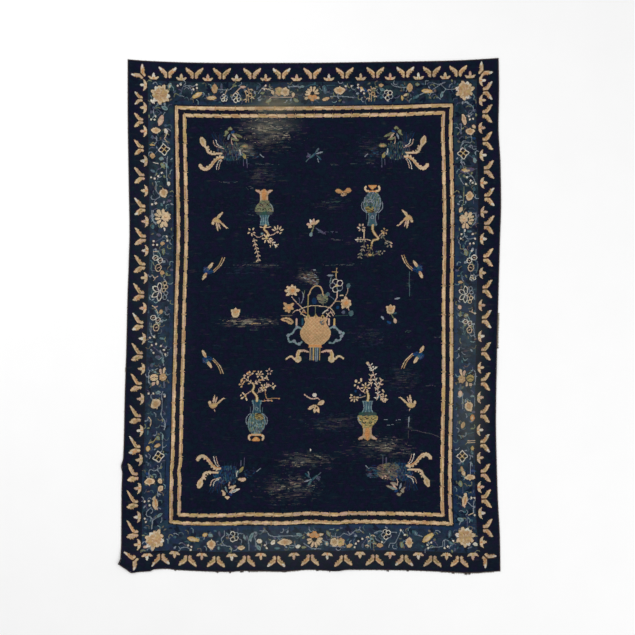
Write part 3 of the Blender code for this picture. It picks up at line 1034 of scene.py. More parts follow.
def trumpet_vase(m, ground=OLIVE_GOLD, brush=GOLD):
    """A squat vase with a fluted neck, on a flared foot with three toes."""
    foot = [(-4.3, -6.6), (-4.3, -13.4), (-5.8, -16.2), (-9.6, -18.2), (-9, -19.6), (-5.4, -18.9)]
    foot += [(-3.6, -17.7), (-2.2, -19.2), (0, -20.2)]
    foot += [(-x, y) for x, y in reversed(foot[:-1])]
    m.patch(foot, TAN, BROWN, smooth=False)
    for side in (-1, 1):
        m.petal((side * 3.6, -15.4), (side * 9.2, -19.2), 2.4, ROSE)
        m.line([(side * 3.8, -7.4), (side * 3.8, -13)], 0.6, ROSE)
    m.petal((0, -19.8), (0, -5.8), 5.2, ORANGE, widest=0.35)
    m.patch([(-8.4, 5), (-7.2, 8.4), (7, 8.4), (8.4, 5.2), (0, 3)], VASE_GREEN)
    body = [(-10.4, 4), (-9.4, 5.1), (-6.6, 5.1), (-4.6, 4.2), (-2.6, 5.1), (0.6, 4.6), (2.6, 5.4)]
    body += [(5, 4.8), (7.4, 5.3), (9.6, 4.9), (10.5, 3.6), (10, 0.6), (7.8, -2.8), (5, -5.6)]
    body += [(4.3, -7.4), (-4.6, -7.4), (-5.4, -5.8), (-8.6, -2.4), (-10, 1)]
    m.patch(body, ground, DEEP)
    m.flecks(body, (brush, OLIVE, VASE_GREEN, brush), 0.5, 3, 1)
    for x, y in ((-6.4, 1.8), (-0.4, 2.2), (5.8, 1.6), (-3.4, -2.4), (3.2, -2.2)):
        m.line([(x - 1.7, y + 0.9), (x - 0.4, y - 0.8), (x + 1.8, y + 0.5)], 0.6, BROWN)
    m.line([(-9.6, 3.6), (-9, 0), (-6.4, -4)], 0.8, MIST)
    neck = [(-5.7, 8.4), (-4, 12.4), (-5.3, 19.9), (5.1, 19.9), (3.8, 12.4), (5.5, 8.4)]
    m.patch(neck, TEAL, None, smooth=False)
    for x in (-4.1, -1.5, 1.3, 3.9):
        m.line([(x * 1.3, 8.8), (x * 0.9, 12.6), (x * 1.15, 19.5)], 0.9, PALE)
    m.line([(-5.2, 19.6), (5, 19.6)], 0.7, PALE)


def handled_vase(m, ground=VASE_GREEN, brush=PALE):
    """A round vase with two thin handles and a tall neck, on a scrolled stand."""
    m.patch([(-4.8, -12.4), (-5.2, -17), (5.2, -17), (4.8, -12.4)], DEEP, smooth=False)
    stand = [
        (-6.6, -16.7), (-7.6, -14.4), (-5.8, -12.3), (0, -11.7), (5.8, -12.3), (7.6, -14.4), (6.6, -16.7),
    ]
    m.line(stand, 1.9, LIGHT, BROWN)
    m.line(stand[2:5], 0.9, ORANGE)
    apron = [(-4.4, -17.7), (-2.3, -15.2), (0, -13.8), (2.3, -15.2), (4.4, -17.7), (0, -18.3)]
    m.patch(apron, ORANGE, BROWN)
    m.disc(0, -15.9, 1.1, GOLD)
    body = [(-3.8, -10.8), (-6.4, -8.8), (-8.6, -4.4), (-8.8, 0.8), (-7.2, 5.8), (-5.4, 9.2), (-2, 10.7)]
    body += [(2.2, 10.7), (6.2, 9.4), (8.8, 6), (9.6, 1), (8.6, -4.6), (5.8, -8.8), (3.6, -10.8)]
    m.patch(body, ground, DEEP)
    m.flecks(body, (STEEL, brush, VASE_GREEN, TEAL, OLIVE), 0.85, 1, 3)
    shoulder = [(-0.6, 9.6), (5.6, 9.4), (8.6, 5.4), (4, 3), (-1, 4.6)]
    m.flecks(shoulder, (OLIVE_GOLD, BROWN, OLIVE_GOLD), 0.95, 4, 1)
    m.line([(-7.4, -6), (-8.2, -1), (-7.2, 5.4), (-4.6, 9.6)], 0.6, brush)
    m.line([(7.6, -5.4), (9.2, 0.4), (8, 6.2), (5.4, 9.8)], 0.6, brush)
    knot = [(-1.2, -2.2), (0.6, -0.7), (2.4, -1.8), (4.2, -0.7), (5.6, -2.4), (3.6, -3.7), (0.8, -3.5)]
    m.line(knot, 0.7, brush, closed=True)
    m.line([(-4.4, -7.6), (-2.6, -9.4), (0, -7.8), (2.6, -9.4)], 0.7, STEEL)
    for side, wide in ((-1, 0), (1, 0.9)):
        handle = [(6, 10), (9.6 + wide, 6.2), (10.6 + wide, 2.4), (9.6 + wide, -1.2)]
        m.line([(side * x, y) for x, y in handle], 0.7, MIST)
        m.line([(side * 6, 11.2), (side * 6.1, 16.2)], 0.6, STEEL)
    neck = [(-4.4, 10.4), (-3, 14), (-3.4, 17), (-4.6, 23), (5.2, 23), (4, 17), (3.6, 14), (4.6, 10.4)]
    m.patch(neck, FEATHER_TEAL if ground == VASE_GREEN else TEAL, DEEP)
    m.flecks(neck, (STEEL, TEAL), 0.4, 1, 4)
    m.line([(-4.2, 22.6), (-2.8, 16.6), (-3.6, 11.4)], 0.7, brush)
    m.line([(4.8, 22.6), (3.6, 16.6), (4.2, 11.4)], 0.7, brush)
    m.disc(0.2, 14.4, 1.9, brush)
    m.disc(0.2, 14.4, 0.9, FEATHER_TEAL)


def lattice_basket(m):
    """The flower basket in the middle: a woven globe on a striped foot, with two handles."""
    globe = [(-6.3, -11.2), (-10.4, -8.8), (-13.7, -5), (-15.4, -0.2), (-14.7, 3.6), (-12.4, 7)]
    globe += [(-10.9, 9.6), (-10.5, 12.4), (-10.4, 15.6)]
    globe += [(-x, y) for x, y in reversed(globe)]
    cloud_left = [
        (13.4, 4.4), (19.3, 6.4), (23.8, 0.4), (28.1, -1.6), (26.6, -8), (21.9, -7.5), (19.4, -10),
        (16.6, -10.8), (14, -8.8),
    ]
    cloud_right = [
        (15, 5.2), (19.3, 7), (22.6, 4.3), (25.4, 1.4), (29.2, 0.2), (27, -2.6), (25.8, -6.4), (21.8, -7),
        (18.6, -9.6), (14.6, -9.4),
    ]
    ribbon = [(6.8, -19.2), (12, -17.6), (16.4, -18.2)]
    tie = [(18.8, -26.8), (21.6, -25.2), (23.8, -23), (26.6, -23.4), (29.6, -25.6)]
    for side, cloud in ((-1, cloud_left), (1, cloud_right)):
        s = m.inner(0, 0, mirror=side)
        s.line(cloud, 1.7, PALE, DEEP)
        for x, y in cloud[1:-1:2]:
            s.disc(x, y, 1.7, MIST)
        s.line(ribbon, 1.4, ROSE, BROWN, end_width=2.8)
        s.line([(16.4, -18.2), (17.6, -20.8), (17.8, -23.8)], 3.4, LIGHT, BROWN)
        s.disc(17.2, -26.0, 3.4, LIGHT, BROWN)
        s.line(tie, 2.2, LIGHT, BROWN, end_width=1.4)
        s.line([(16.8, -18.6), (17.4, -21.6), (17.4, -26)], 1.5, GOLD)
    # the collar and the striped foot
    m.patch([(-5.6, -14.2), (-5.6, -27.8), (5.4, -27.8), (5.4, -14.2)], DEEP, smooth=False)
    for x, yarn, width in (
        (-4.9, LIGHT, 0.8), (-3.0, MIST, 0.6), (-1.5, GOLD, 0.6), (1.7, STEEL, 3.4), (4.9, GOLD, 0.8),
    ):
        m.line([(x, -15.0), (x, -27.4)], width, yarn)
    for x in (0.6, 2.8):
        m.line([(x, -15.0), (x, -27.0)], 0.6, MIST)
    m.patch([(-5.8, -10), (-6.9, -14.7), (7, -14.7), (6, -10)], ORANGE, BROWN, smooth=False)
    m.line([(-6.4, -14.2), (6.4, -14.2)], 0.7, TAN)
    basket_flowers(m)
    for x in (-7.8, 0, 7.2):
        m.patch([(x - 3.4, 14.8), (x, 19.2), (x + 3.4, 14.8)], GOLD, BROWN, smooth=False)
    m.patch(globe, WARM, BROWN)
    m.lattice(globe, 6, BAND, (ORANGE, WARM, ORANGE, OLIVE_GOLD, GOLD, BROWN))
    m.line([*globe, globe[0]], 0.8, BAND)
    for x in (-7.8, 0, 7.2):
        m.line([(x, 15.2), (x, 17.6)], 0.6, BROWN)
    m.flecks([(4.6, 13.4), (8.4, 13.4), (8.4, 8.6), (4.8, 8.6)], (GREY, MIST, KHAKI), 0.7, 2, 1)


def starry(m, x, y, tips, wide, yarn=LIGHT, core=TAN, heart=ORANGE):
    """A flower of pointed petals, each with its own reach, round a warm heart."""
    for tip in tips:
        m.petal((x, y), tip, wide, yarn, None, BROWN, 0.45)
    m.disc(x, y, wide, core)
    m.disc(x + 0.4, y, wide * 0.5, heart)


def basket_flowers(m):
    """The flowers in the basket, its handles, its arch and its tassels."""
    # worn ground and leaves behind the handles
    bared = [(-14.4, 59), (-4, 60.4), (2, 55), (0.4, 49), (-8, 50.4)]
    m.flecks(bared, (KHAKI, GREY, MIST, BROWN), 0.75, 4, 1)
    leaves = [(0.4, 37), (5.4, 40), (11.6, 37.4), (11, 31.4), (4, 30.6)]
    m.flecks(leaves, (OLIVE, KHAKI, OLIVE, GREY), 0.9, 3, 1)
    m.patch([(-4.6, 33), (-2.2, 36), (0.6, 32.8), (-0.6, 29.4), (-3.6, 29.8)], FEATHER)
    m.line([(-14.6, 42), (-13.2, 36.6), (-15.2, 30.8)], 0.7, MIST)
    m.line([(-12.4, 43), (-13, 38)], 0.7, OLIVE)
    m.line([(-17.8, 36.4), (-17, 31)], 0.7, SLATE)
    # the left branches
    m.line([(-25.6, 37.6), (-20.4, 31.6), (-15, 26.4), (-10.6, 21)], 0.7, ROSE)
    m.line([(-17.4, 24), (-14.6, 19.8), (-9.8, 17)], 0.8, LIGHT)
    m.line([(-12.6, 24), (-15.4, 19.4)], 0.7, TAN)
    m.line([(-13.6, 21.6), (-9.8, 20.4)], 0.7, ORANGE)
    m.line([(-24, 21), (-20.8, 23.6), (-17.2, 23.6)], 0.6, ROSE)
    star = [(-25.5, 49.8), (-21.4, 48), (-17.2, 43.8), (-20.4, 38.8), (-25.4, 39.4), (-31, 38.6)]
    starry(m, -25.0, 43.8, [*star, (-32.9, 43.6), (-31, 48)], 3.6)
    other = [(-33.6, 31.4), (-23, 30.8), (-34, 26), (-31.4, 22.4), (-27.6, 21.2), (-23, 25.2)]
    starry(m, -28.2, 26.6, other, 3.3, TAN, WARM)
    m.line([(-36, 18.7), (-25, 18.6)], 0.8, KHAKI)
    bird = [(-35.8, 15.2), (-32, 16.6), (-28.2, 16.4), (-25, 14.8), (-22.8, 12), (-24.6, 9.8)]
    m.patch([*bird, (-27.6, 10.2), (-30.6, 12.4), (-35, 13.4)], TAN, BROWN)
    m.line([(-32.6, 14.6), (-28.4, 14), (-25.2, 11.8)], 0.8, BROWN)
    m.line([(-31.6, 15.6), (-28, 15.2)], 0.7, LIGHT)
    # the right branches
    m.line([(20.2, 66), (19.6, 61), (19.8, 55)], 0.8, TAN)
    m.line([(15.8, 62.4), (21.4, 62.2)], 0.7, GOLD)
    m.petal((10.6, 58.8), (17, 58.8), 2.0, MIST)
    m.line([(21.3, 42.2), (21.3, 36.4), (17.3, 29.8), (13.4, 25.8), (7.2, 20.2)], 1.1, ROSE)
    m.line([(18.8, 32), (22.4, 33), (25.6, 32)], 0.7, TAN)
    m.line([(18.6, 34.6), (13, 38.6)], 0.6, SLATE)
    m.disc(11.8, 39.6, 2.0, STEEL)
    outlined_blossom(m.inner(20.6, 48.6, 20), 6.9)
    m.line([(13.6, 51.6), (14.6, 56.4)], 0.9, PALE)
    m.petal((32.4, 44.8), (33.2, 50.4), 4.2, STEEL)
    m.line([(32.4, 45), (32, 41.4), (30.4, 38.2)], 0.7, ROSE)
    m.petal((24, 38.6), (28.2, 38.4), 1.6, LIGHT)
    lobes = [
        (30.2, 37.2), (25.8, 33.8), (35.8, 32.4), (36.4, 28.4), (33.4, 24.8), (26.6, 25.4), (25.6, 29.4),
    ]
    starry(m, 30.6, 30.4, lobes, 4.2, LIGHT, TAN, ORANGE)
    m.disc(22.4, 26.6, 1.6, BLUE)
    m.disc(28.4, 21.2, 1.8, SLATE)
    m.line([(33.6, 25), (34, 22.6)], 0.7, ROSE)
    m.disc(36.4, 19.8, 2.5, STEEL, None, 1.2)
    m.line([(19.9, 17.6), (33, 17.6)], 0.5, VASE_GREEN)
    for stem, yarn in (
        ([(6.9, 19.9), (9.8, 22.8), (12.4, 23.4)], IVORY),
        ([(11.2, 16.2), (13.6, 20.6), (17.8, 21.6)], ROSE),
        ([(10.8, 20.4), (14.8, 17.2)], LIGHT),
        ([(15, 22.6), (18, 18.2)], ROSE),
    ):
        m.line(stem, 0.9, yarn)
    # the handles, the arch between them and the tassels
    m.line([(-8.2, 17), (-8.2, 38.6)], 1.4, OLIVE_GOLD)
    m.line([(7.1, 38.6), (7.1, 28.4)], 1.3, KHAKI)
    arch = [
        (-8.2, 38.4), (-6.9, 40.6), (-5.6, 44.1), (-2.3, 47.3), (0.3, 47.9), (3.6, 47), (5.9, 43.4),
        (7.1, 38.6),
    ]
    m.line(arch, 1.3, TAN)
    rim = [(-17.3, 24.2), (-8.8, 27.1), (0.3, 27.6), (12.7, 26.5), (17.3, 23.2), (19.3, 19.6)]
    m.line(rim, 0.7, LIGHT)
    m.line([(-0.7, 26.8), (-0.5, 18.6)], 1.0, OLIVE)
    for x, yarn in ((-19.9, ROSE), (-13.5, FEATHER_TEAL), (13.7, ROSE), (19.3, GOLD)):
        m.line([(x, 14.4), (x, 9.2)], 2.2, yarn)


def centre_spray(m):
    """Five wide petals on a bent stem, with one closed bud."""
    petals = ((112, 7, IVORY), (78, 7.2, ROSE), (38, 9, LIGHT), (165, 6.6, ROSE), (205, 4.6, LIGHT))
    for a, reach, yarn in petals:
        m.petal((0, 0), (reach * cos(radians(a)), reach * sin(radians(a))), 2.8, yarn, TAN, DEEP)
    m.disc(-0.4, 0, 0.9, BROWN)
    m.line([(1.4, 0.6), (0.4, -3.6), (-1.6, -8.6)], 1.2, OLIVE)
    m.petal((-0.8, -7), (-2, -11.2), 3.4, PALE)
    m.petal((3, -2.4), (12, -8.6), 1.8, SLATE)


def falling_spray(m):
    """Three drooping petals under a thin bough with an ivory bud."""
    for tip, yarn in (((-7.6, -5.4), LIGHT), ((-1, -9), LIGHT), ((3.8, -8.8), BAND_LIGHT)):
        m.petal((0.6, -0.4), tip, 3.8, DEEP)
        m.petal((0.4, -1), tip, 3.2, yarn, TAN, BROWN, 0.66)
    m.petal((2.6, -0.6), (9, 3.4), 4.2, LIGHT, TAN, BROWN)
    m.line([(-11.6, 9.8), (-7.4, 6.6), (-2.6, 5), (1.6, 6.2), (4, 4.4)], 1.2, ROSE)
    m.disc(-1.2, 9.0, 2.1, IVORY)
    m.disc(1.0, -4.0, 1.0, BROWN)


def bat(m):
    """A small rust-coloured bat, for good fortune."""
    shape = [(-8.2, 1.6), (-6.4, 3.4), (-3.6, 2.6), (-1.2, 1), (1.2, 1.4), (3.8, 3.8), (6.8, 3.2)]
    shape += [(8.2, 0.8), (6, -0.8), (3.2, -1.4), (0.8, -3.4), (-1.4, -2.6), (-3.6, -1.2), (-6.8, -0.6)]
    m.patch(shape, WARM, BROWN)
    m.line([(-6.4, 1.4), (-3.2, 0.8), (0.2, -0.8), (3.4, 1), (6.4, 1.4)], 1.3, ORANGE)
    m.flecks([(-3.4, -0.8), (3.6, -0.8), (2, -3.8), (-2, -3.8)], (BROWN, WARM, ROSE), 0.9, 2, 1)


def small_crane(m):
    """A small teal bird with pale wing tips."""
    m.petal((-5.4, -4.8), (1.6, 1.2), 2.2, FEATHER_TEAL, STEEL)
    m.petal((0.6, 0.6), (4.4, 5.8), 2.0, STEEL, None)
    m.line([(-9.6, -8), (-5.4, -4.2), (-1.6, -0.8)], 0.7, STEEL)
    m.petal((1, -0.4), (8.4, 1.8), 1.5, MIST)
    m.petal((1.4, -1.6), (6.6, -7), 2.0, FEATHER_TEAL, STEEL)
    m.line([(2.4, -5), (3.4, -8.8)], 0.6, MIST)
    for k in range(4):
        m.line([(-4.4 - 0.4 * k, -1.6 - 0.7 * k), (-7.4 - 0.4 * k, 0.4 - 1.2 * k)], 0.5, SLATE)


def star_flower(m):
    """A small five-lobed flower set alone in the field."""
    lobes = [(0, 4.8), (-1.7, 3.2), (-4.4, 2.8), (-4, -0.6), (-2.8, -4.2), (1, -4.9), (3.4, -3.6)]
    m.patch([*lobes, (4.6, 2.8), (1.8, 3.2)], LIGHT, BROWN)
    m.patch([(0, 3.4), (-2.8, 1.6), (-2, -2.6), (1.4, -3.2), (3.2, 1.6)], TAN)
    m.disc(0, 0.2, 0.9, ORANGE)
    m.disc(2.6, 1.0, 0.9, ORANGE)


def fallen_twig(m):
    """The twig under the lone flower, with two buds and a leaf."""
    m.line([(0.6, -4.4), (2.8, -8.6), (4.6, -10.6)], 0.7, OLIVE)
    m.petal((4.2, -9.6), (5.6, -14.4), 3.4, ROSE, None, BROWN)
    m.petal((-6.6, -10.6), (-9.4, -7.2), 2.2, MIST)
    m.petal((3.8, 10.2), (9.6, 11.4), 1.8, MIST)
    m.petal((-3.4, -12.4), (1, -14.8), 2.6, BLUE)
    m.petal((3, -4.8), (6.6, -3.6), 1.9, TEAL)


# ---------------------------------------------------------------- where the motifs go

# Along each side of the guard border: the places of the middles in the photograph, across
# it for the top and the bottom and down it for the left and the right.
BUTTERFLIES = {
    "top": (167.7, 194.3, 221.9, 252.1, 281.5, 312.5, 344.7, 375.4, 405.4, 431.8, 458.2),
    "bottom": (160.7, 187.7, 216.1, 246.4, 276.5, 310.2, 343.4, 374.8, 404.1, 432.7, 459.5),
    "left": (
        97.2, 119.3, 146.9, 175.0, 206.3, 236.2, 264.2, 292.9, 322.9, 353.5, 384.1, 416.5, 447.1,
        474.3, 501.7, 531.7,
    ),
    "right": (
        90.8, 113.8, 141.2, 169.9, 197.3, 225.4, 257.9, 289.1, 319.3, 351.4, 381.6, 413.8, 443.3,
        473.0, 498.9, 528.5,
    ),
}
LOTUS_BUDS = {
    "top": (153.6, 181.3, 207.7, 236.6, 265.6, 296.6, 328.8, 360.6, 390.1, 418.3, 445.1, 470.0),
    "bottom": (146.9, 174.3, 201.7, 231.7, 260.8, 293.8, 327.2, 360.0, 390.0, 418.4, 446.6, 473.0),
    "left": (
        84.7, 107.4, 131.0, 160.7, 190.3, 220.9, 250.0, 277.6, 308.2, 338.6, 368.8, 399.0, 430.7,
        459.9, 488.1, 516.8, 544.2,
    ),
    "right": (
        80.2, 100.1, 127.6, 155.0, 182.7, 212.0, 238.8, 272.8, 305.1, 336.0, 367.2, 397.1, 429.6,
        457.3, 486.7, 512.9, 541.9,
    ),
}
# How far in from the outline the two kinds of guard motif stand, in metres, and how far a
# butterfly's wings reach out, against their full height.
BUTTERFLY_IN = Inset(0.0830, 0.0870, 0.0740, 0.0800)
BUD_IN = Inset(0.1260, 0.1310, 0.1180, 0.1185)
WING_HEIGHT = Inset(1.0, 0.84, 0.93, 0.92)
# How the motifs of a side are turned, and a line through them in the photograph.
GuardLine = namedtuple("GuardLine", "turn photo")
GUARD_LINES = {
    "left": GuardLine(90, 140),
    "right": GuardLine(-90, 486),
    "bottom": GuardLine(180, 560),
    "top": GuardLine(0, 70),
}
# The lower row stands a little further from the edge towards its right end.
SAG = 1.6
SAG_FROM = 425
SAG_RUN = 45
# The butterflies of the left side grow from its upper end to a full size of their own.
LEFT_SMALLEST = 0.72
LEFT_GROWTH = 0.055
LEFT_LARGEST = 0.96
LEFT_SHIFT = -1.5
CORNER_SIZE = 0.9

# A figure drawn by its own function at its place in the photograph, turned anticlockwise by
# degrees, with whatever more that function takes.
Figure = namedtuple("Figure", "draw photo_x photo_y turn size mirror more", defaults=(0, 1, 1, ()))
CORNER_BUTTERFLIES = rows_of(
    Figure,
    (butterfly, 140.4, 73.4, 45, CORNER_SIZE),
    (butterfly, 483.5, 71.0, -45, CORNER_SIZE),
    (butterfly, 132.9, 560.4, 135, CORNER_SIZE),
    (butterfly, 487.3, 558.5, -135, CORNER_SIZE),
)


def place_figures(rows):
    """Draw the figures of a table, each over the ones before it."""
    for row in rows:
        row.draw(motif_at(*row[1:6]), *row.more)


def inset_motif(side, photo_place, inset):
    """A frame on a side of the guard border, with its up towards the carpet's edge."""
    turn, photo_line = GUARD_LINES[side]
    edge = from_side(side, 0.5, getattr(inset, side))
    if side in ("top", "bottom"):
        origin = (knot_at(photo_place, photo_line)[0], edge[1])
    else:
        origin = (edge[0], knot_at(photo_line, photo_place)[1])
    sag = SAG * min(max((photo_place - SAG_FROM) / SAG_RUN, 0.0), 1.0) if side == "bottom" else 0.0
    return upright(origin).inner(0, 0, turn).inner(0, -sag)


def guard_border():
    """Butterflies and lotus buds in turn along each side, with a butterfly in each corner."""
    for side in BUTTERFLIES:
        for k, place in enumerate(BUTTERFLIES[side]):
            m = inset_motif(side, place, BUTTERFLY_IN)
            if side == "left":
                m = m.inner(LEFT_SHIFT, 0, 0, min(LEFT_SMALLEST + LEFT_GROWTH * k, LEFT_LARGEST))
            m.up = getattr(WING_HEIGHT, side) * m.up
            butterfly(m, k)
        for k, place in enumerate(LOTUS_BUDS[side]):
            lotus_bud(inset_motif(side, place, BUD_IN), k)
    place_figures(CORNER_BUTTERFLIES)


Spray = namedtuple("Spray", "photo_x photo_y turn wide high yarn", defaults=(0, 0, 0, TAN))
Spot = namedtuple("Spot", "photo_x photo_y")
Stem = namedtuple("Stem", "yarn points")

# How many dark patches, and how many small curls and dabs, each side of the border has.
BORDER_COUNTS = (("left", 44, 290), ("right", 44, 290), ("bottom", 28, 190), ("top", 28, 190))

Round = namedtuple("Round", "photo_x photo_y radius")
PEONIES = rows_of(
    Round, (160.7, 94.5, 9.3), (464.8, 90.3, 9.0), (154.7, 539.7, 9.4), (465.3, 537.0, 9.3),
)
OUTLINED_BLOSSOMS = rows_of(
    Round,
    (236.4, 98.0, 4.6), (224.0, 98.0, 3.6), (388.0, 95.0, 5.2), (233.6, 536.6, 5.2),
    (386.4, 534.4, 5.0), (472.8, 278.0, 3.0),
)
DIAMONDS = rows_of(Spot, (164.0, 149.4), (158.4, 456.4), (463.2, 153.2), (462.3, 456.2))
ROCKS = rows_of(Spray, (249.4, 94.4), (372.4, 93.2), (371.2, 540.2, 0, 0, 0, PALE))
CLIMBING_BIRDS = rows_of(Spray, (155.0, 502.6, 8), (464.9, 499.4, -14))

LARGE_FLOWERS = rows_of(
    Figure,
    (two_lobed_flower, 162.3, 218.4, 0, 0.94),
    (shell_flower, 158.6, 376.6, 0, 0.98, -1, (LIGHT,)),
    (two_lobed_flower, 467.0, 220.4, 0, 0.84, -1),
    (shell_flower, 466.0, 378.2),
    (centre_peony, 312.4, 94.0, 0, 0.95),
    (centre_peony, 314.5, 538.8, 180, 1.05),
    (twin_blossom, 282.2, 91.4),
    (twin_blossom, 337.4, 542.6, 180),
)
LOBED_BLOSSOMS = rows_of(
    Figure,
    (three_lobed_blossom, 158.6, 263.4),
    (three_lobed_blossom, 156.4, 323.2),
    (three_lobed_blossom, 470.8, 263.2, 0, 1.0, -1),
    (three_lobed_blossom, 469.0, 326.0, 10, 0.9),
    (outlined_cluster, 160.6, 291.4, 0, 0.96),
    (outlined_cluster, 466.6, 294.4, 180, 0.86, -1),
)
BLOSSOMS = rows_of(
    Spray,
    (156, 130.3, 0, 10, 6.8), (163.6, 192.7, 10, 8.6, 10.4), (155.6, 404.3, 200, 10.6, 11.4),
    (149.6, 481.7, 180, 10.6, 8.2), (470.2, 131.2, 0, 9.6, 7.2), (469.5, 195.8, 80, 9.4, 8.6),
    (468.9, 406.1, 20, 9, 12), (470, 477.5, 180, 10.8, 6.4), (339.7, 90.2, 0, 12, 8.6),
    (211.4, 544.2, 0, 8.8, 11), (284.8, 542.4, 180, 14.6, 7.4), (409.3, 542.6, 270, 10.6, 8),
)

BUDS = rows_of(
    Spray,
    (214.6, 88.8, 180, 6.4, 8.8), (409.8, 87.6, 0, 6.2, 8.6), (160.8, 120.3, -20, 5.6, 11, ROSE),
    (464, 119.6, 195, 4.6, 11, LIGHT), (152.5, 155.8, 0, 5.2, 5.4), (161.3, 158.6, 90, 3.8, 5.2, PALE),
    (161, 311.5, 0, 3.8, 4.4), (162.1, 272.6, 60, 4.2, 4.8), (157.5, 445.3, 90, 3.8, 6.2),
    (147.9, 448.7, 0, 4.6, 5.2, GOLD), (160.1, 481, 30, 4.6, 5.4, LIGHT),
    (160.5, 488.5, -30, 5.4, 6.4, LIGHT), (165.9, 131.2, 20, 3.8, 5.2, IVORY),
    (168.6, 183.7, 0, 3.4, 4.4, IVORY), (162.5, 243.4, 80, 3.8, 4.4),
    (473.9, 126.6, 230, 3.2, 4.4, LIGHT), (474.7, 160.3, 10, 3.8, 5.2, PALE),
    (460.8, 209.8, 150, 3.8, 5.6, LIGHT), (460.4, 282.2, 90, 2.8, 4.8), (466, 315.4, 100, 4, 5, OLIVE),
    (459.7, 307.2, 20, 3.8, 4.4, ROSE), (460.3, 393.8, 0, 4.8, 6.2, ROSE),
    (472.4, 417.8, 0, 5, 6.6, ORANGE), (463, 425.2, 160, 4.2, 6.4), (472.4, 448.2, 0, 3.6, 4.6, GOLD),
    (463.6, 473.3, 30, 3.8, 5.2, LIGHT), (462.2, 469.6, 20, 2.8, 7.2), (242.9, 86.9, 90, 2.6, 5.6, ROSE),
    (272.7, 92.2, 30, 3, 5.2, LIGHT), (293.2, 94.6, 0, 3.6, 4.2, LIGHT), (325.8, 99, 105, 3.4, 7.8),
    (381, 85.3, 90, 3.6, 4.8), (402.1, 97.8, 10, 2.6, 5, GOLD), (405.5, 94.9, 110, 2.8, 4, LIGHT),
    (204.9, 534.9, 120, 4.2, 5.2, GOLD), (210.6, 535.4, 70, 3.8, 5, PALE),
    (241.2, 547.8, 90, 4.6, 7, LIGHT), (259.3, 541.2, 0, 6, 4.4, IVORY), (273, 542.4, 140, 4, 5.6, IVORY),
    (298, 546.5, 100, 3.6, 5.2, IVORY), (326.7, 543.4, 0, 4.4, 5.2, PALE), (349.4, 545.8, 110, 3.6, 6),
    (379.9, 545.3, 90, 4.4, 6.4), (145.2, 547, 80, 2.8, 4.4, ROSE), (475.4, 544.3, 60, 3.6, 4.6, IVORY),
    (152.6, 101.6, 50, 2.8, 5.4, IVORY), (169.8, 85.6, -20, 4.2, 5.6, PALE),
)

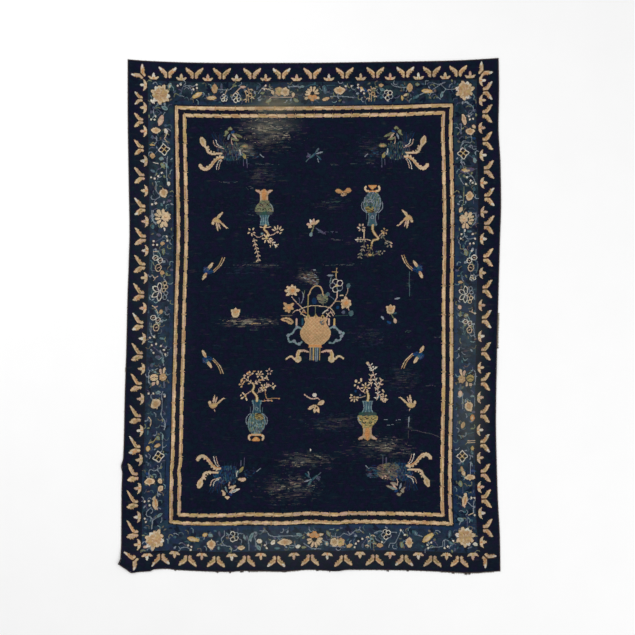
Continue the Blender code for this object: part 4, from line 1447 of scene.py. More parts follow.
LEAVES = rows_of(
    Spray,
    (164.6, 107.9, 65, 4.2, 7, PALE), (152.5, 137.2, 0, 3.4, 3.8, SLATE),
    (152.2, 144.9, 85, 1.8, 5, GOLD), (162.7, 165.1, 40, 4, 6, OLIVE), (166.7, 165.9, 0, 2.2, 4.6, PALE),
    (152.6, 170.9, 70, 3.4, 5.6, TEAL), (161.7, 204.5, 20, 3.8, 4.4, TEAL),
    (169, 200.7, 60, 2.8, 4.4, SLATE), (152.9, 226.7, 0, 3.8, 4.4, TEAL),
    (158.7, 234.8, 70, 3.2, 5.4, SLATE), (163.6, 251.5, 0, 3.6, 6.4, OLIVE),
    (166.7, 274.2, 40, 2.8, 3.8, OLIVE), (166.3, 309.2, 10, 3, 5.4, SLATE),
    (161.7, 338.4, 70, 3.4, 5.6, TEAL), (157.5, 357.2, 80, 3.6, 6.2, SLATE),
    (162.9, 360.8, 10, 2.6, 5.2, PALE), (151.8, 365.2, 0, 3.6, 4.4, SLATE),
    (157.9, 392.5, 80, 3.6, 5.6, PALE), (147.9, 432.4, 0, 2.6, 5, TEAL), (157.9, 438, 40, 4, 5.6, OLIVE),
    (162.5, 437.2, 0, 2, 6.4, PALE), (159.6, 515.2, 125, 3, 7, PALE), (146.8, 473.7, 30, 2.8, 4.2, BLUE),
    (460.8, 132.3, 20, 2.6, 4.8, SLATE), (473.9, 138.3, 80, 2.4, 4.2, BLUE),
    (474.3, 188.9, 10, 2.4, 4.4, TEAL), (460.4, 196.9, 90, 2, 3.4, PALE),
    (469.4, 231.4, 90, 3, 5.6, TEAL), (466, 252.8, 20, 4.6, 6.4, OLIVE),
    (463.7, 246.4, 20, 2.6, 4.2, TEAL), (461.8, 276.8, 10, 2.8, 4.6, TEAL),
    (460.4, 313.9, 0, 2.8, 5.4, OLIVE), (472.4, 396.2, 90, 2.4, 4.6, PALE),
    (473.2, 412, 80, 2.8, 4.4, SLATE), (472, 452.4, 20, 3.6, 5, TEAL), (473.2, 471, 80, 3.2, 5.2, BLUE),
    (460.5, 483.7, 10, 4.6, 6.2, OLIVE), (460.5, 519.6, 80, 4.4, 6.6, PALE),
    (221.5, 86.4, 0, 2.6, 6.2, SLATE), (233, 86.6, 140, 1.8, 3.8, OLIVE),
    (257.4, 87.6, 160, 2.6, 5, TEAL), (262.6, 93, 100, 2.6, 4.6, OLIVE),
    (268.6, 101, 120, 3.4, 6.6, OLIVE), (296, 100.2, 60, 3.8, 6.2, OLIVE),
    (302, 86.6, 100, 2.6, 4.8, PALE), (324.7, 89.6, 10, 4.6, 9.2, TEAL), (382.2, 89.6, 90, 3, 4.8, PALE),
    (402.5, 85.2, 60, 2.4, 4, TEAL), (417.4, 84.3, 80, 3.4, 4.8, OLIVE),
    (416.7, 96.8, 125, 3.6, 6.4, TEAL), (441.9, 94.5, -15, 3.2, 7, PALE),
    (219.4, 533.8, 10, 2.4, 5.4, SLATE), (218.6, 547.8, 0, 3.4, 4.4, TEAL),
    (244.5, 537.4, 20, 2.8, 5.2, PALE), (251.2, 536.4, -30, 3.4, 9.6, PALE),
    (258.8, 547.8, 40, 3.8, 6, PALE), (277.2, 548.2, 90, 3.2, 6.2, TEAL),
    (299.2, 534.6, 70, 3.4, 6.4, PALE), (303.8, 547.2, 90, 2.8, 5, OLIVE),
    (328.3, 533.4, 30, 3.8, 6.4, OLIVE), (362.7, 545.6, 0, 3, 5, SLATE),
    (401.8, 544.8, 0, 3.8, 6.2, OLIVE), (415.6, 533.2, 30, 4.4, 6.4, TEAL),
    (449.7, 533.8, -10, 3.8, 8, TEAL), (450.8, 543, 60, 3.6, 6, TEAL),
)

BERRIES = rows_of(
    Spot,
    (177.9, 85.7), (180.9, 84.6), (196.6, 84.6), (197, 88), (193.6, 89.2), (265.7, 85.7), (264.5, 89.2),
    (351.4, 86.1), (357.9, 84.6), (358.3, 87.6), (361, 90.7), (364, 93.4), (155.4, 116.2), (151.2, 119.3),
    (154.6, 119.8), (469, 116.3), (469.8, 119.4), (473.2, 118.6), (151, 177.4), (154.8, 178.5),
    (158.3, 176.2), (161.7, 172.8), (152.2, 204.2), (156, 203.4), (153.7, 241.1), (153.3, 244.9),
    (157.1, 244.9), (167.5, 240.7), (166.7, 236.5), (149.9, 337.5), (154, 336.8), (151.8, 345.2),
    (156, 344), (161, 346), (153.7, 352.8), (164, 349.8), (165.2, 354.5), (148.7, 393.6), (153.3, 393.6),
    (164.8, 396.4), (144.5, 501.5), (148.7, 500.8), (149.6, 505.2), (144.5, 518.7), (145.8, 521.9),
    (467.1, 177.2), (470.5, 180.6), (472.8, 182.9), (475.8, 184), (466, 184.2), (461.4, 234),
    (472.8, 234), (460.7, 238.6), (475.1, 238.6), (470.2, 243.6), (473.6, 243.3), (472, 250.9),
    (475, 313.4), (471.2, 497.9), (474.7, 497.9), (474.7, 515.1), (188, 545.3), (191.5, 546.8),
    (190.7, 549.9), (264.9, 545.3), (266.5, 548.3), (362.3, 538.8), (358.5, 541), (355.8, 543.7),
    (354.7, 547.2), (427.3, 544.8), (431.3, 542.6), (428.4, 548.1), (444.5, 548.1), (447.8, 546.6),
    (453.3, 540.8), (404.8, 534.9), (401, 530.2), (382, 542), (345.8, 86),
)

STEMS = rows_of(
    Stem,
    (SLATE, ((184, 84.8), (181.6, 90.2), (181.6, 93.8))), (SLATE, ((179, 89.4), (182, 91))),
    (MIST, ((183.6, 86.4), (188.4, 85.6), (193, 86.4), (196.6, 84.8))),
    (MIST, ((188.8, 86.2), (192, 90.4), (191.8, 93.6))),
    (SLATE, ((202, 94.6), (205.4, 95.4), (208, 97.2))),
    (MIST, ((217.3, 89.4), (223, 89.6), (229.1, 90), (233, 86.6))),
    (ROSE, ((226.6, 90.2), (225.2, 94.2))),
    (ROSE, ((232.8, 95.4), (236.4, 91.6), (239.6, 88.6), (243, 87))),
    (LIGHT, ((237, 91.4), (239.8, 95.4))), (MIST, ((258, 93.8), (262, 88.4), (265.6, 86))),
    (LIGHT, ((262, 88.6), (268.4, 89.2), (272.4, 91.4))),
    (ROSE, ((269, 99.4), (272.2, 97.2), (283, 97), (293, 97.4))),
    (MIST, ((288.2, 87.4), (294, 86.4), (299, 86.8))),
    (TEAL, ((305.6, 86.6), (312.8, 84.4), (318, 85.6))),
    (MIST, ((330.3, 96.6), (338, 96.2), (345, 96.6), (354, 97.6))),
    (TEAL, ((326.6, 85.6), (334.4, 85.4))),
    (MIST, ((391.2, 83.6), (393.8, 85.8), (400, 87.2), (407.4, 87.2))),
    (SLATE, ((393.6, 98), (397.4, 97.8), (399.8, 95.2))), (MIST, ((419.4, 95), (424, 92.8))),
    (MIST, ((432.8, 82.8), (438.6, 84.2), (445.2, 82.2))),
    (MIST, ((432.6, 89.6), (437.4, 86.4), (442, 83.2))),
    (MIST, ((440.8, 84.2), (446.4, 89.2), (454.6, 89.2))), (MIST, ((445.8, 89.4), (443.2, 92.4))),
    (MIST, ((465.6, 99.6), (465.6, 102), (472.4, 106.2), (472.8, 111), (466.4, 115.8))),
    (SLATE, ((472.6, 111), (470.8, 114.4))),
    (MIST, ((160.4, 103.6), (154.6, 107.6), (153.4, 113), (156, 117))),
    (SLATE, ((157.4, 108.8), (160.6, 112.4), (158, 115.2))), (MIST, ((164.8, 112.4), (162.4, 116))),
    (MIST, ((156.4, 136), (156.8, 141.2), (153.8, 144.8))),
    (SLATE, ((157, 141), (161.2, 140), (166.4, 141.6), (168.4, 146))),
    (LIGHT, ((167, 133.8), (164.8, 138.4), (167.2, 142))), (SLATE, ((157.4, 150.8), (154.8, 154))),
    (IVORY, ((153.2, 162.4), (158.4, 163.6))),
    (MIST, ((167.4, 156.6), (166.8, 165.4), (166.6, 175), (167.6, 182))),
    (MIST, ((155.6, 181.2), (156, 187.2), (156.4, 191.2))),
    (SLATE, ((154.6, 176.8), (157.4, 169.8), (161.4, 168.2))),
    (MIST, ((156.4, 191), (160, 196.4), (155.4, 199.6), (154.2, 203.6))),
    (MIST, ((151.8, 210.2), (151.6, 217.8), (154.4, 221.8), (157.6, 223.2))),
    (SLATE, ((155.2, 241.8), (160.2, 239.2), (164, 237.6), (167.2, 240.2))),
    (MIST, ((153.6, 249.6), (154, 257.2), (158, 261))), (LIGHT, ((153.2, 251.6), (158.8, 251.2))),
    (SLATE, ((161.2, 258.6), (166.2, 259), (168.2, 262.8))),
    (LIGHT, ((152, 275), (154.8, 278.4), (153.8, 280.4))), (ROSE, ((154.8, 278.2), (158, 276))),
    (LIGHT, ((152, 305.6), (154.6, 307.4), (157.6, 311.8), (158, 316.2))),
    (ROSE, ((154.8, 307.4), (157.6, 306.2))), (MIST, ((151.4, 323.6), (150.8, 333.2), (154, 336.4))),
    (SLATE, ((153.6, 347.2), (158, 350.8), (160.4, 353.2))),
    (MIST, ((160, 350), (163, 356.8), (163.6, 365.4))),
    (MIST, ((148.7, 383), (149.1, 376.2), (153.2, 371.2), (157.6, 368.4))),
    (MIST, ((151.4, 394), (151, 397.6), (153, 399.8))),
    (MIST, ((161.7, 394.2), (162.1, 406.4), (161, 415), (164.8, 421.4), (164.8, 429.6))),
    (SLATE, ((161.4, 410), (163.8, 411.6))), (SLATE, ((161.8, 422.4), (164.4, 423.8), (161.8, 426.6))),
    (LIGHT, ((148.4, 417), (151, 420.6), (150.2, 426))),
    (GOLD, ((148.6, 443.2), (153.4, 441.4), (156.2, 438))),
    (MIST, ((162.6, 441.6), (162.4, 449.6), (160.4, 452.6))),
    (SLATE, ((146, 462), (149.6, 463.8), (150.8, 466.6))),
    (MIST, ((161.2, 463.4), (159.6, 468.2), (155, 470.6), (150, 469.4), (149.6, 478))),
    (MIST, ((157.6, 470.4), (160.6, 474), (161.2, 478.6))), (MIST, ((157.4, 491), (158, 496.8))),
    (
        MIST,
        ((151.6, 507.4), (147, 511.4), (146.6, 515.8), (150.6, 516.8), (152.4, 521.4), (151.6, 529.4)),
    ),
    (SLATE, ((146.2, 504.4), (147.4, 511))), (MIST, ((152.6, 520.4), (157, 517.6))),
    (MIST, ((149, 544.6), (151, 548.6), (152.2, 551))), (MIST, ((461.2, 124.6), (461, 130))),
    (MIST, ((470.9, 134.6), (471.6, 142), (464.8, 142.2), (461.2, 145.8), (460.8, 149))),
    (MIST, ((468.6, 146.6), (471.3, 145), (472.8, 148.8), (476.2, 148.8))),
    (TEAL, ((467.6, 154.4), (471, 156.4), (474, 158.8))),
    (MIST, ((461.4, 158), (461.4, 162.4), (463.8, 167.8))),
    (MIST, ((466.8, 172.2), (471, 175.6), (473.6, 178.2), (475.2, 183))),
    (MIST, ((460.2, 178.4), (463.4, 184.2))), (OLIVE, ((463.7, 186.8), (463.6, 201), (462, 206.6))),
    (SLATE, ((473.4, 200.4), (473.6, 203.4))), (SLATE, ((476.4, 211.8), (476.6, 220.8), (474.2, 225))),
    (MIST, ((464, 229.2), (464.8, 235.4), (468.2, 239), (474.6, 237.8))),
    (MIST, ((476.2, 249.4), (475.2, 258.4))), (SLATE, ((470.4, 270.8), (471.2, 276))),
    (LIGHT, ((469.4, 311), (472.2, 312.4), (474.8, 313))), (ROSE, ((472.2, 309.2), (472, 312.6))),
    (MIST, ((473.2, 326), (475, 338))), (MIST, ((475.2, 372.2), (475.4, 379.2), (475, 385))),
    (MIST, ((462.2, 395.8), (463, 409))), (MIST, ((474.6, 397.2), (474.8, 406.2))),
    (TEAL, ((466.2, 434.2), (474, 432.4))), (LIGHT, ((467.8, 440.6), (475.2, 440.6))),
    (LIGHT, ((467.8, 442.6), (475.2, 442.6))), (MIST, ((470.8, 461.6), (470.6, 468), (470.2, 474.4))),
    (MIST, ((458.6, 463.8), (462, 461.8))), (SLATE, ((463, 486.6), (462.6, 493.2))),
    (MIST, ((474.2, 500.4), (473.4, 506), (473.6, 512.4))),
    (MIST, ((467.6, 501.8), (471.4, 505.8), (473.2, 506.6))),
    (SLATE, ((465.2, 514.6), (467.2, 516.8), (467.4, 527))), (LIGHT, ((468.6, 515), (473.4, 513))),
    (MIST, ((467.8, 548.4), (471.8, 546.8))), (MIST, ((181.4, 548), (186, 547), (190.6, 549.6))),
    (SLATE, ((183.6, 543.4), (187.2, 547))), (SLATE, ((198.4, 537.2), (203, 537))),
    (MIST, ((224.4, 531.2), (224.4, 535.2), (221.4, 538.8), (222.8, 543.4), (225.8, 545.8))),
    (MIST, ((217.4, 544.6), (225.8, 545.8), (230.4, 546.8), (231.6, 550.2))),
    (MIST, ((226, 535.2), (229.8, 534.4))), (MIST, ((238.8, 533.4), (243.4, 534.2), (245, 537.8))),
    (MIST, ((246.8, 536), (248.4, 541), (249.2, 550.2))),
    (MIST, ((256.4, 532), (254.4, 536.6), (255.8, 540.6), (256, 546.6))),
    (MIST, ((259.6, 530.6), (266.4, 531.2), (269.6, 535.2), (276.4, 536.6), (285, 535.8), (298, 536))),
    (MIST, ((264.2, 529.4), (262.6, 532.2))), (SLATE, ((280.2, 536.4), (280.6, 540.2))),
    (MIST, ((289, 545.8), (293, 545.6), (297, 547.2))),
    (MIST, ((303.8, 543.4), (309, 546.8), (313.8, 548.8), (320.6, 548.6))),
    (MIST, ((331.2, 535.8), (339.6, 536.8), (343.6, 533.4), (349.6, 535), (355, 530.8), (359.6, 529.6))),
    (ROSE, ((337.8, 537.2), (337.6, 540))), (MIST, ((348, 531.6), (350.4, 534.6))),
    (MIST, ((330, 546), (341, 546.8), (345, 547))), (SLATE, ((363.4, 543.2), (366.8, 538))),
    (MIST, ((374.4, 533), (379, 531), (382, 531.4))), (MIST, ((386.6, 539.8), (383.4, 543.4))),
    (
        MIST,
        ((400.8, 530.6), (398.8, 535.6), (396.8, 539.8), (394.8, 543.2), (390.2, 543.4), (388.8, 547.4)),
    ),
    (MIST, ((391.4, 532.2), (397, 532.6))), (MIST, ((402, 531.4), (405, 534.6))),
    (MIST, ((417.4, 534.8), (422.6, 536.8))),
    (MIST, ((430.2, 547.2), (442, 546.4), (442.8, 542), (445, 539.6), (448.8, 541))),
    (SLATE, ((432.6, 541.2), (435.4, 542.2), (437.6, 545.8))), (MIST, ((444.8, 540), (444.6, 547.8))),
)

BIRDS = rows_of(
    Spray,
    (197.2, 95, 15, 1, 1, GOLD), (211.8, 97.8, -12, 0.9, 1, TAN), (427, 91.2, 160, 1, 1, GOLD),
    (193, 539.4, 155, 1.1, 1, GOLD), (428, 538, 205, 1.25, 1, GOLD), (466.8, 170.4, 172, 1.2, 1, SLATE),
    (362.6, 89.4, 140, 0.9, 1, BLUE),
)


def border_frame(side, along, deep, turn):
    """A motif's frame between the main border's outer line, deep 0, and its inner one, deep 1."""
    line = Inset(*(a + (b - a) * deep for a, b in zip(GUARD_IN, BORDER_IN)))
    return upright(corner_point(side, along, line)).inner(0, 0, turn)


def border_ground():
    """Darker leaf-shaped patches behind the stems, and small curls and dabs between them."""
    for side, patches, _ in BORDER_COUNTS:
        for k in range(patches):
            along = (k + 0.5 + 0.3 * sin(3.7 * k)) / patches
            m = border_frame(side, along, 0.5 + 0.34 * sin(2.3 * k + len(side)), 67 * k % 180)
            m.petal((0, -3.6 - k % 2), (0, 3.8), 3.4, DARK_LEAF)
            m.petal((0.4, -2.0), (4.4, 2.6 + k % 3), 2.6, DARK_LEAF)
    for side, _, curls in BORDER_COUNTS:
        for k in range(curls):
            along, deep = (0.618034 * k + 0.1) % 1, 0.06 + 0.84 * ((0.41421 * k + 0.3) % 1)
            m = border_frame(side, along, deep, 137 * k % 360)
            if k % 2:
                yarn = (SLATE, TEAL, DARK_LEAF, MIST, LINE, KHAKI, DARK_LEAF, OLIVE)[k // 2 % 8]
                m.petal((0, -1.6), (0.8, 1.6), 1.2 + 0.5 * (k % 3), yarn)
            else:
                bend = 1.0 + 0.8 * sin(k)
                yarn = (MIST, SLATE, PALE, STEEL, OLIVE, MIST, KHAKI)[k // 2 % 7]
                m.line([(-2.2, -bend), (-0.6, 0.5), (1.2, 0.3), (2.4, -bend * 0.7)], 0.5, yarn)


def frame_of(row):
    """The frame of a table's row that has a place and a turn."""
    return motif_at(row.photo_x, row.photo_y, row.turn)


def main_border():
    """The flower border, from its ground to the berries that lie over all the rest."""
    border_ground()
    for row in STEMS:
        stem(row.points, row.yarn)
    for row in LEAVES:
        leaf(frame_of(row), row.yarn, row.wide, row.high)
    for row in ROCKS:
        rock(frame_of(row), row.yarn)
    for row in BUDS:
        bud(frame_of(row), row.yarn, row.wide, row.high)
    for row in BLOSSOMS:
        cloud_blossom(frame_of(row), row.wide, row.high)
    for row in BIRDS:
        small_bird(motif_at(*row[:4]), row.yarn)
    for row in CLIMBING_BIRDS:
        long_bird(frame_of(row))
    for photo_x, photo_y, radius in PEONIES:
        peony(motif_at(photo_x, photo_y, photo_x), radius)
    place_figures(LARGE_FLOWERS)
    for photo_x, photo_y in DIAMONDS:
        diamond_blossom(motif_at(photo_x, photo_y, photo_x * 3 % 9))
    for photo_x, photo_y, radius in OUTLINED_BLOSSOMS:
        outlined_blossom(motif_at(photo_x, photo_y, photo_x), radius)
    place_figures(LOBED_BLOSSOMS)
    for row in BERRIES:
        motif_at(*row).disc(0, 0, 1.0, IVORY, BROWN)


Fan = namedtuple("Fan", "photo_x photo_y turn spread petals reach yarn core")
FANS = rows_of(
    Fan,
    (251.4, 231.6, 40, 300, 5, 4.6, LIGHT, None), (277.6, 232, 0, 130, 5, 7, LIGHT, ROSE),
    (266.8, 238.4, 180, 290, 6, 5.4, LIGHT, GOLD), (361.2, 227.6, 0, 300, 6, 4.4, ROSE, None),
    (384.6, 231.4, 10, 300, 5, 4, TAN, None), (359.4, 239.6, 90, 250, 4, 3.2, WORN_PALE, None),
    (388.6, 244.2, 200, 280, 4, 3.4, WORN_PALE, None), (382.4, 251.4, 180, 200, 3, 3, WORN_PALE, None),
    (369.4, 246.4, 180, 240, 4, 3.2, OLIVE_GOLD, None), (242.4, 384, 60, 200, 4, 4, TAN, WARM),
    (250, 374.8, 40, 200, 4, 4.2, LIGHT, WARM), (259.6, 374.4, 0, 280, 6, 4.2, LIGHT, TAN),
    (269.2, 371.6, 0, 300, 5, 3.6, ROSE, None), (263.6, 387.6, 10, 300, 6, 4.2, LIGHT, GOLD),
    (245.4, 396, 120, 160, 3, 5, LIGHT, GOLD), (272.8, 386.2, 320, 240, 4, 3.4, LIGHT, None),
    (365.6, 387.4, 0, 300, 7, 5.2, LIGHT, GOLD), (354.4, 397.2, 160, 210, 6, 5.4, LIGHT, TAN),
    (356.8, 383.6, 30, 200, 3, 3.8, LIGHT, None), (373, 369.4, 0, 130, 3, 3.6, IVORY, None),
    (383.4, 397, 300, 280, 5, 4.2, LIGHT, None),
)

Sprig = namedtuple("Sprig", "points pairs yarn")
SPRIGS = rows_of(
    Sprig,
    (((253.8, 238.4), (255.6, 246), (257.4, 253), (258.6, 261)), 6, LIGHT),
    (((268.8, 239.6), (272.6, 242.6), (276.4, 246)), 3, LIGHT),
    (((364, 238.6), (363.8, 246), (361.4, 252), (359.6, 257.6)), 5, WORN_PALE),
    (((372.6, 245.6), (369.6, 250.4), (366.2, 255.6)), 3, KHAKI),
    (((380, 234.2), (384.2, 238.4), (387.4, 243.8)), 2, WORN_PALE),
    (((370.2, 254.6), (375.2, 254.4), (380.4, 251.6)), 2, OLIVE),
    (((253.4, 384.4), (248, 380.4), (243.6, 377.4)), 3, TAN),
    (((254.6, 383.6), (260.4, 380.4), (267.6, 377.6)), 4, LIGHT),
    (((257.6, 393), (261.4, 389.6), (268.4, 385)), 3, ROSE),
    (((376.8, 399.8), (377.8, 391), (376, 382.4), (373.4, 373.2), (369.4, 364)), 8, IVORY),
    (((375.4, 390), (380, 384.4), (381.2, 379.4)), 3, LIGHT),
    (((371.4, 386), (370.6, 380.4), (371.8, 375)), 3, LIGHT),
    (((377.2, 394), (381.6, 397), (386, 401)), 3, LIGHT),
)

FIELD_STEMS = rows_of(
    Stem,
    (ROSE, ((253.6, 234), (258, 237.4), (263, 235.4))),
    (ROSE, ((267.8, 235.8), (273, 234.6), (277.2, 231.6))),
    (LIGHT, ((260, 227), (265.6, 227.6), (271, 226.8))), (LIGHT, ((364.2, 229), (364, 239.4))),
    (LIGHT, ((357.6, 239.6), (366.8, 239.4), (370.6, 240.6))),
    (ROSE, ((378.4, 237.4), (381, 234), (384.4, 231.8))),
    (ROSE, ((251.6, 390.6), (247.6, 393.4), (244, 395.2))),
    (WARM, ((265.2, 391), (265.8, 396), (267.2, 398.6), (273, 398.4), (279.4, 398.6))),
    (ROSE, ((262, 401.2), (267.4, 400.6), (272.6, 401))),
    (ROSE, ((356.6, 397), (361, 397.4), (365, 396))), (ROSE, ((358, 386), (361, 390.4), (365.2, 393))),
    (SLATE, ((316.2, 228.4), (321, 230.6), (325.6, 234.2))),
    (GREY, ((411.4, 430.6), (415.6, 430.2), (422.4, 432.2), (431, 433.8), (439.2, 437))),
    (MIST, ((409, 416.4), (408.8, 421.6), (408.5, 427.2))),
    (STEEL, ((409.8, 271.4), (409.4, 280), (409.6, 296))), (GREY, ((408.6, 431), (408.2, 438))),
)
Dab = namedtuple("Dab", "photo_x photo_y turn reach wide yarn")
DABS = rows_of(
    Dab,
    (274.5, 242.3, 90, 3, 1.2, IVORY), (275.5, 245.5, 60, 4, 1.3, IVORY),
    (270.4, 246, 10, 2.4, 1.2, LIGHT), (280.5, 233, 120, 3, 1.3, LIGHT), (262, 233.5, 90, 2.6, 2.4, PALE),
    (356.4, 239.6, 90, 3, 1.2, IVORY), (359.1, 228.1, 60, 3, 1.3, IVORY),
    (363.8, 230.8, 110, 3, 1.3, LIGHT), (370, 254.9, 80, 4, 2.6, GOLD),
    (376.6, 251.6, 90, 2.6, 1.8, SLATE), (391.4, 242.9, 60, 3, 1.3, LIGHT),
    (391.1, 246.2, 10, 3, 1.3, ROSE), (383.4, 232.5, 90, 2.6, 1.6, GOLD),
    (240.9, 395.3, 0, 1.8, 1.6, LIGHT), (241.4, 398.4, 0, 1.8, 1.6, LIGHT),
    (241.7, 380.4, 70, 3, 1.8, WARM), (244.6, 375.5, 90, 2.8, 1.8, ROSE),
    (248, 372.6, 90, 3, 1.7, ORANGE), (254.2, 371.2, 100, 3.2, 1.4, WARM),
    (260.7, 379.8, 90, 2.6, 1.4, ORANGE), (264.7, 378.3, 60, 2.6, 1.4, LIGHT),
    (268.7, 384.7, 60, 3, 1.5, ROSE), (273.6, 387, 100, 3.6, 1.6, LIGHT),
    (264.7, 400.7, 0, 1.8, 1.5, ORANGE), (268.1, 400.4, 0, 1.8, 1.5, ROSE),
    (271.5, 400.4, 0, 1.8, 1.5, ORANGE), (356.1, 381, 0, 2.8, 2.4, LIGHT), (361.1, 380, 0, 4, 2.2, LIGHT),
    (357.9, 387.4, 0, 2.8, 2.2, ROSE), (355.6, 391, 0, 2.6, 2.4, BLUE), (360.2, 395, 0, 2.6, 2.4, SLATE),
    (367.6, 363, 90, 3.2, 2.4, LIGHT), (369.9, 367.7, 60, 3.2, 1.5, IVORY),
    (376, 367.4, 120, 3.2, 1.5, IVORY), (383.1, 390.8, 30, 3.4, 1.8, LIGHT),
    (379.6, 396.6, 0, 3, 1.8, TEAL), (383.4, 401.2, 60, 3, 1.6, LIGHT), (310.5, 450, 0, 2.4, 1.2, IVORY),
    (314.4, 270, 90, 3, 1.2, MIST),
)
TRUNKS = (
    ((265.6, 225.6), (264.2, 229.4), (267.8, 233.4), (265.8, 238.4)),
    ((372.8, 225.4), (373.0, 230.6), (375.8, 235.2), (378.4, 238.8), (373.0, 240.6), (371.4, 245.8)),
    ((257.0, 400.6), (256.4, 395.8), (252.8, 391.2), (254.0, 386.6), (252.8, 383.0)),
    ((367.8, 400.6), (368.4, 395.4), (366.8, 391.4)),
)


def sprig(row):
    """A thin stem with pairs of small leaves up it."""
    path = photo_path(row.points)
    faded = row.yarn in (WORN_PALE, KHAKI, OLIVE)
    fill_line(path, [THINNEST] * len(path), KHAKI if faded else ROSE)
    for k in range(row.pairs):
        here = path[round((k + 0.6) * (len(path) - 1) / row.pairs)]
        along = path[-1] - path[0]
        along = along / np.hypot(*along)
        side = np.array([-along[1], along[0]])
        for way in (-1, 1):
            tip = here + 2.4 * along + way * (3.6 + 0.7 * sin(3 * k + way)) * side
            fill_line([here + way * 1.2 * side, (here + tip) / 2, tip], [1.1, 1.8, 1.1], row.yarn)


def small_field_pieces():
    """The sprays over the vases, with their stems, leaves and single petals."""
    for line in FIELD_STEMS:
        stem(line.points, line.yarn)
    for row in SPRIGS:
        sprig(row)
    for points in TRUNKS:
        path = photo_path(points)
        fill_line(path, list(np.linspace(4.0, 2.4, len(path))), GOLD, BROWN)
        fill_line(path, list(np.linspace(1.8, 1.2, len(path))), LIGHT)
    for row in FANS:
        m = frame_of(row)
        for k in range(row.petals):
            a = radians(row.spread * (k / (row.petals - 1) - 0.5))
            tip = (row.reach * sin(a), row.reach * cos(a))
            m.petal((tip[0] * 0.36, tip[1] * 0.36), tip, 1.55, row.yarn)
        if row.core is not None:
            m.disc(0, 0, 1.1, row.core)
    for row in DABS:
        m = frame_of(row)
        m.petal((0, -row.reach / 2), (0, row.reach / 2), row.wide, row.yarn)


FIELD_FIGURES = rows_of(
    Figure,
    (phoenix, 220.1, 474.8),
    (phoenix, 405.6, 471.8, 0, 1.0, -1, (WORN_PALE, True)),
    (phoenix, 223.7, 151.5, 180, 1.0, -1, (OLIVE,)),
    (phoenix, 403.6, 150.4, 180, 1.0, 1, (OLIVE,)),
    (trumpet_vase, 367.5, 420.5),
    (trumpet_vase, 264.3, 207.3, 180, 0.92, 1, (OLIVE, KHAKI)),
    (handled_vase, 256.2, 423.0),
    (handled_vase, 372.6, 203.0, 180, 1.0, 1, (STEEL, MIST)),
    (lattice_basket, 315.4, 333.0),
    (swallow, 213.8, 405.0),
    (swallow, 410.4, 404.6, 0, 1.0, -1),
    (swallow, 217.2, 221.0, 180, 1.0, -1, (True,)),
    (swallow, 407.6, 218.6, 180, 1.0, 1, (True,)),
    (ribbon_tailed_bird, 205.2, 359.4, 0, 0.97),
    (ribbon_tailed_bird, 205.9, 270.8, 180, 0.97, -1),
    (ribbon_tailed_bird, 420.6, 355.0, 0, 0.97, -1),
    (ribbon_tailed_bird, 419.8, 269.0, 180, 0.97),
    (centre_spray, 312.5, 225.5),
    (falling_spray, 315.5, 404.0),
    (bat, 343.5, 192.0),
    (small_crane, 315.0, 153.5),
    (small_crane, 312.0, 480.0, 180),
    (star_flower, 235.4, 312.6),
    (star_flower, 390.5, 309.0),
    (fallen_twig, 390.6, 309.1),
)


def field():
    """The four phoenixes, the four vases, the basket in the middle and all that is between."""
    place_figures(FIELD_FIGURES)
    small_field_pieces()


# Single rows of knots worn down to the foundation.
Streak = namedtuple("Streak", "photo_x photo_end photo_y rows yarn")
STREAKS = rows_of(
    Streak,
    (240, 281, 164, 1, GREY), (250, 276, 173, 1, GREY), (252, 274, 180, 2, DUSK),
    (246, 256, 188, 4, GREY), (218, 240, 182, 1, GREY), (246, 256, 215, 1, GREY),
    (352, 382, 163.5, 1, GREY), (329, 343, 165, 1, GREY), (314, 345, 202, 2, VASE_GREEN),
    (312, 338, 232, 1, SLATE), (324, 343, 239.6, 1, GREY), (226, 290, 265, 2, GREY),
    (247, 268, 262.5, 1, KHAKI), (322, 362, 265, 1, GREY), (222, 264, 273, 1, FADED),
    (215, 278, 320.6, 2, KHAKI), (244, 266, 323.6, 1, GOLD), (277, 294, 316, 2, DUSK),
    (247, 258, 329, 3, VASE_GREEN), (212, 254, 346, 1, FADED), (352, 378, 333, 3, FADED),
    (404, 413, 331.5, 2, VASE_GREEN), (405, 413, 347, 1, GREY), (432, 441, 337, 1, GREY),
    (301, 343, 378, 1, FADED), (382, 422, 374, 3, FADED), (384, 418, 383, 3, FADED),
    (424, 437, 385.5, 1, GREY), (288, 296, 416.4, 1, DUSK), (294, 347, 424, 3, VASE_GREEN),
    (300, 345, 428, 2, DUSK), (382, 403, 420, 1, MIST), (384, 400, 425, 1, MIST),
    (278, 326, 464.8, 1, KHAKI), (300, 334, 459, 2, GREY), (323, 332, 468, 3, DUSK),
    (262, 310, 479, 1, DUSK), (264, 312, 485, 2, GREY), (262, 296, 505, 1, FADED),
    (357, 380, 490, 1, FADED),
)


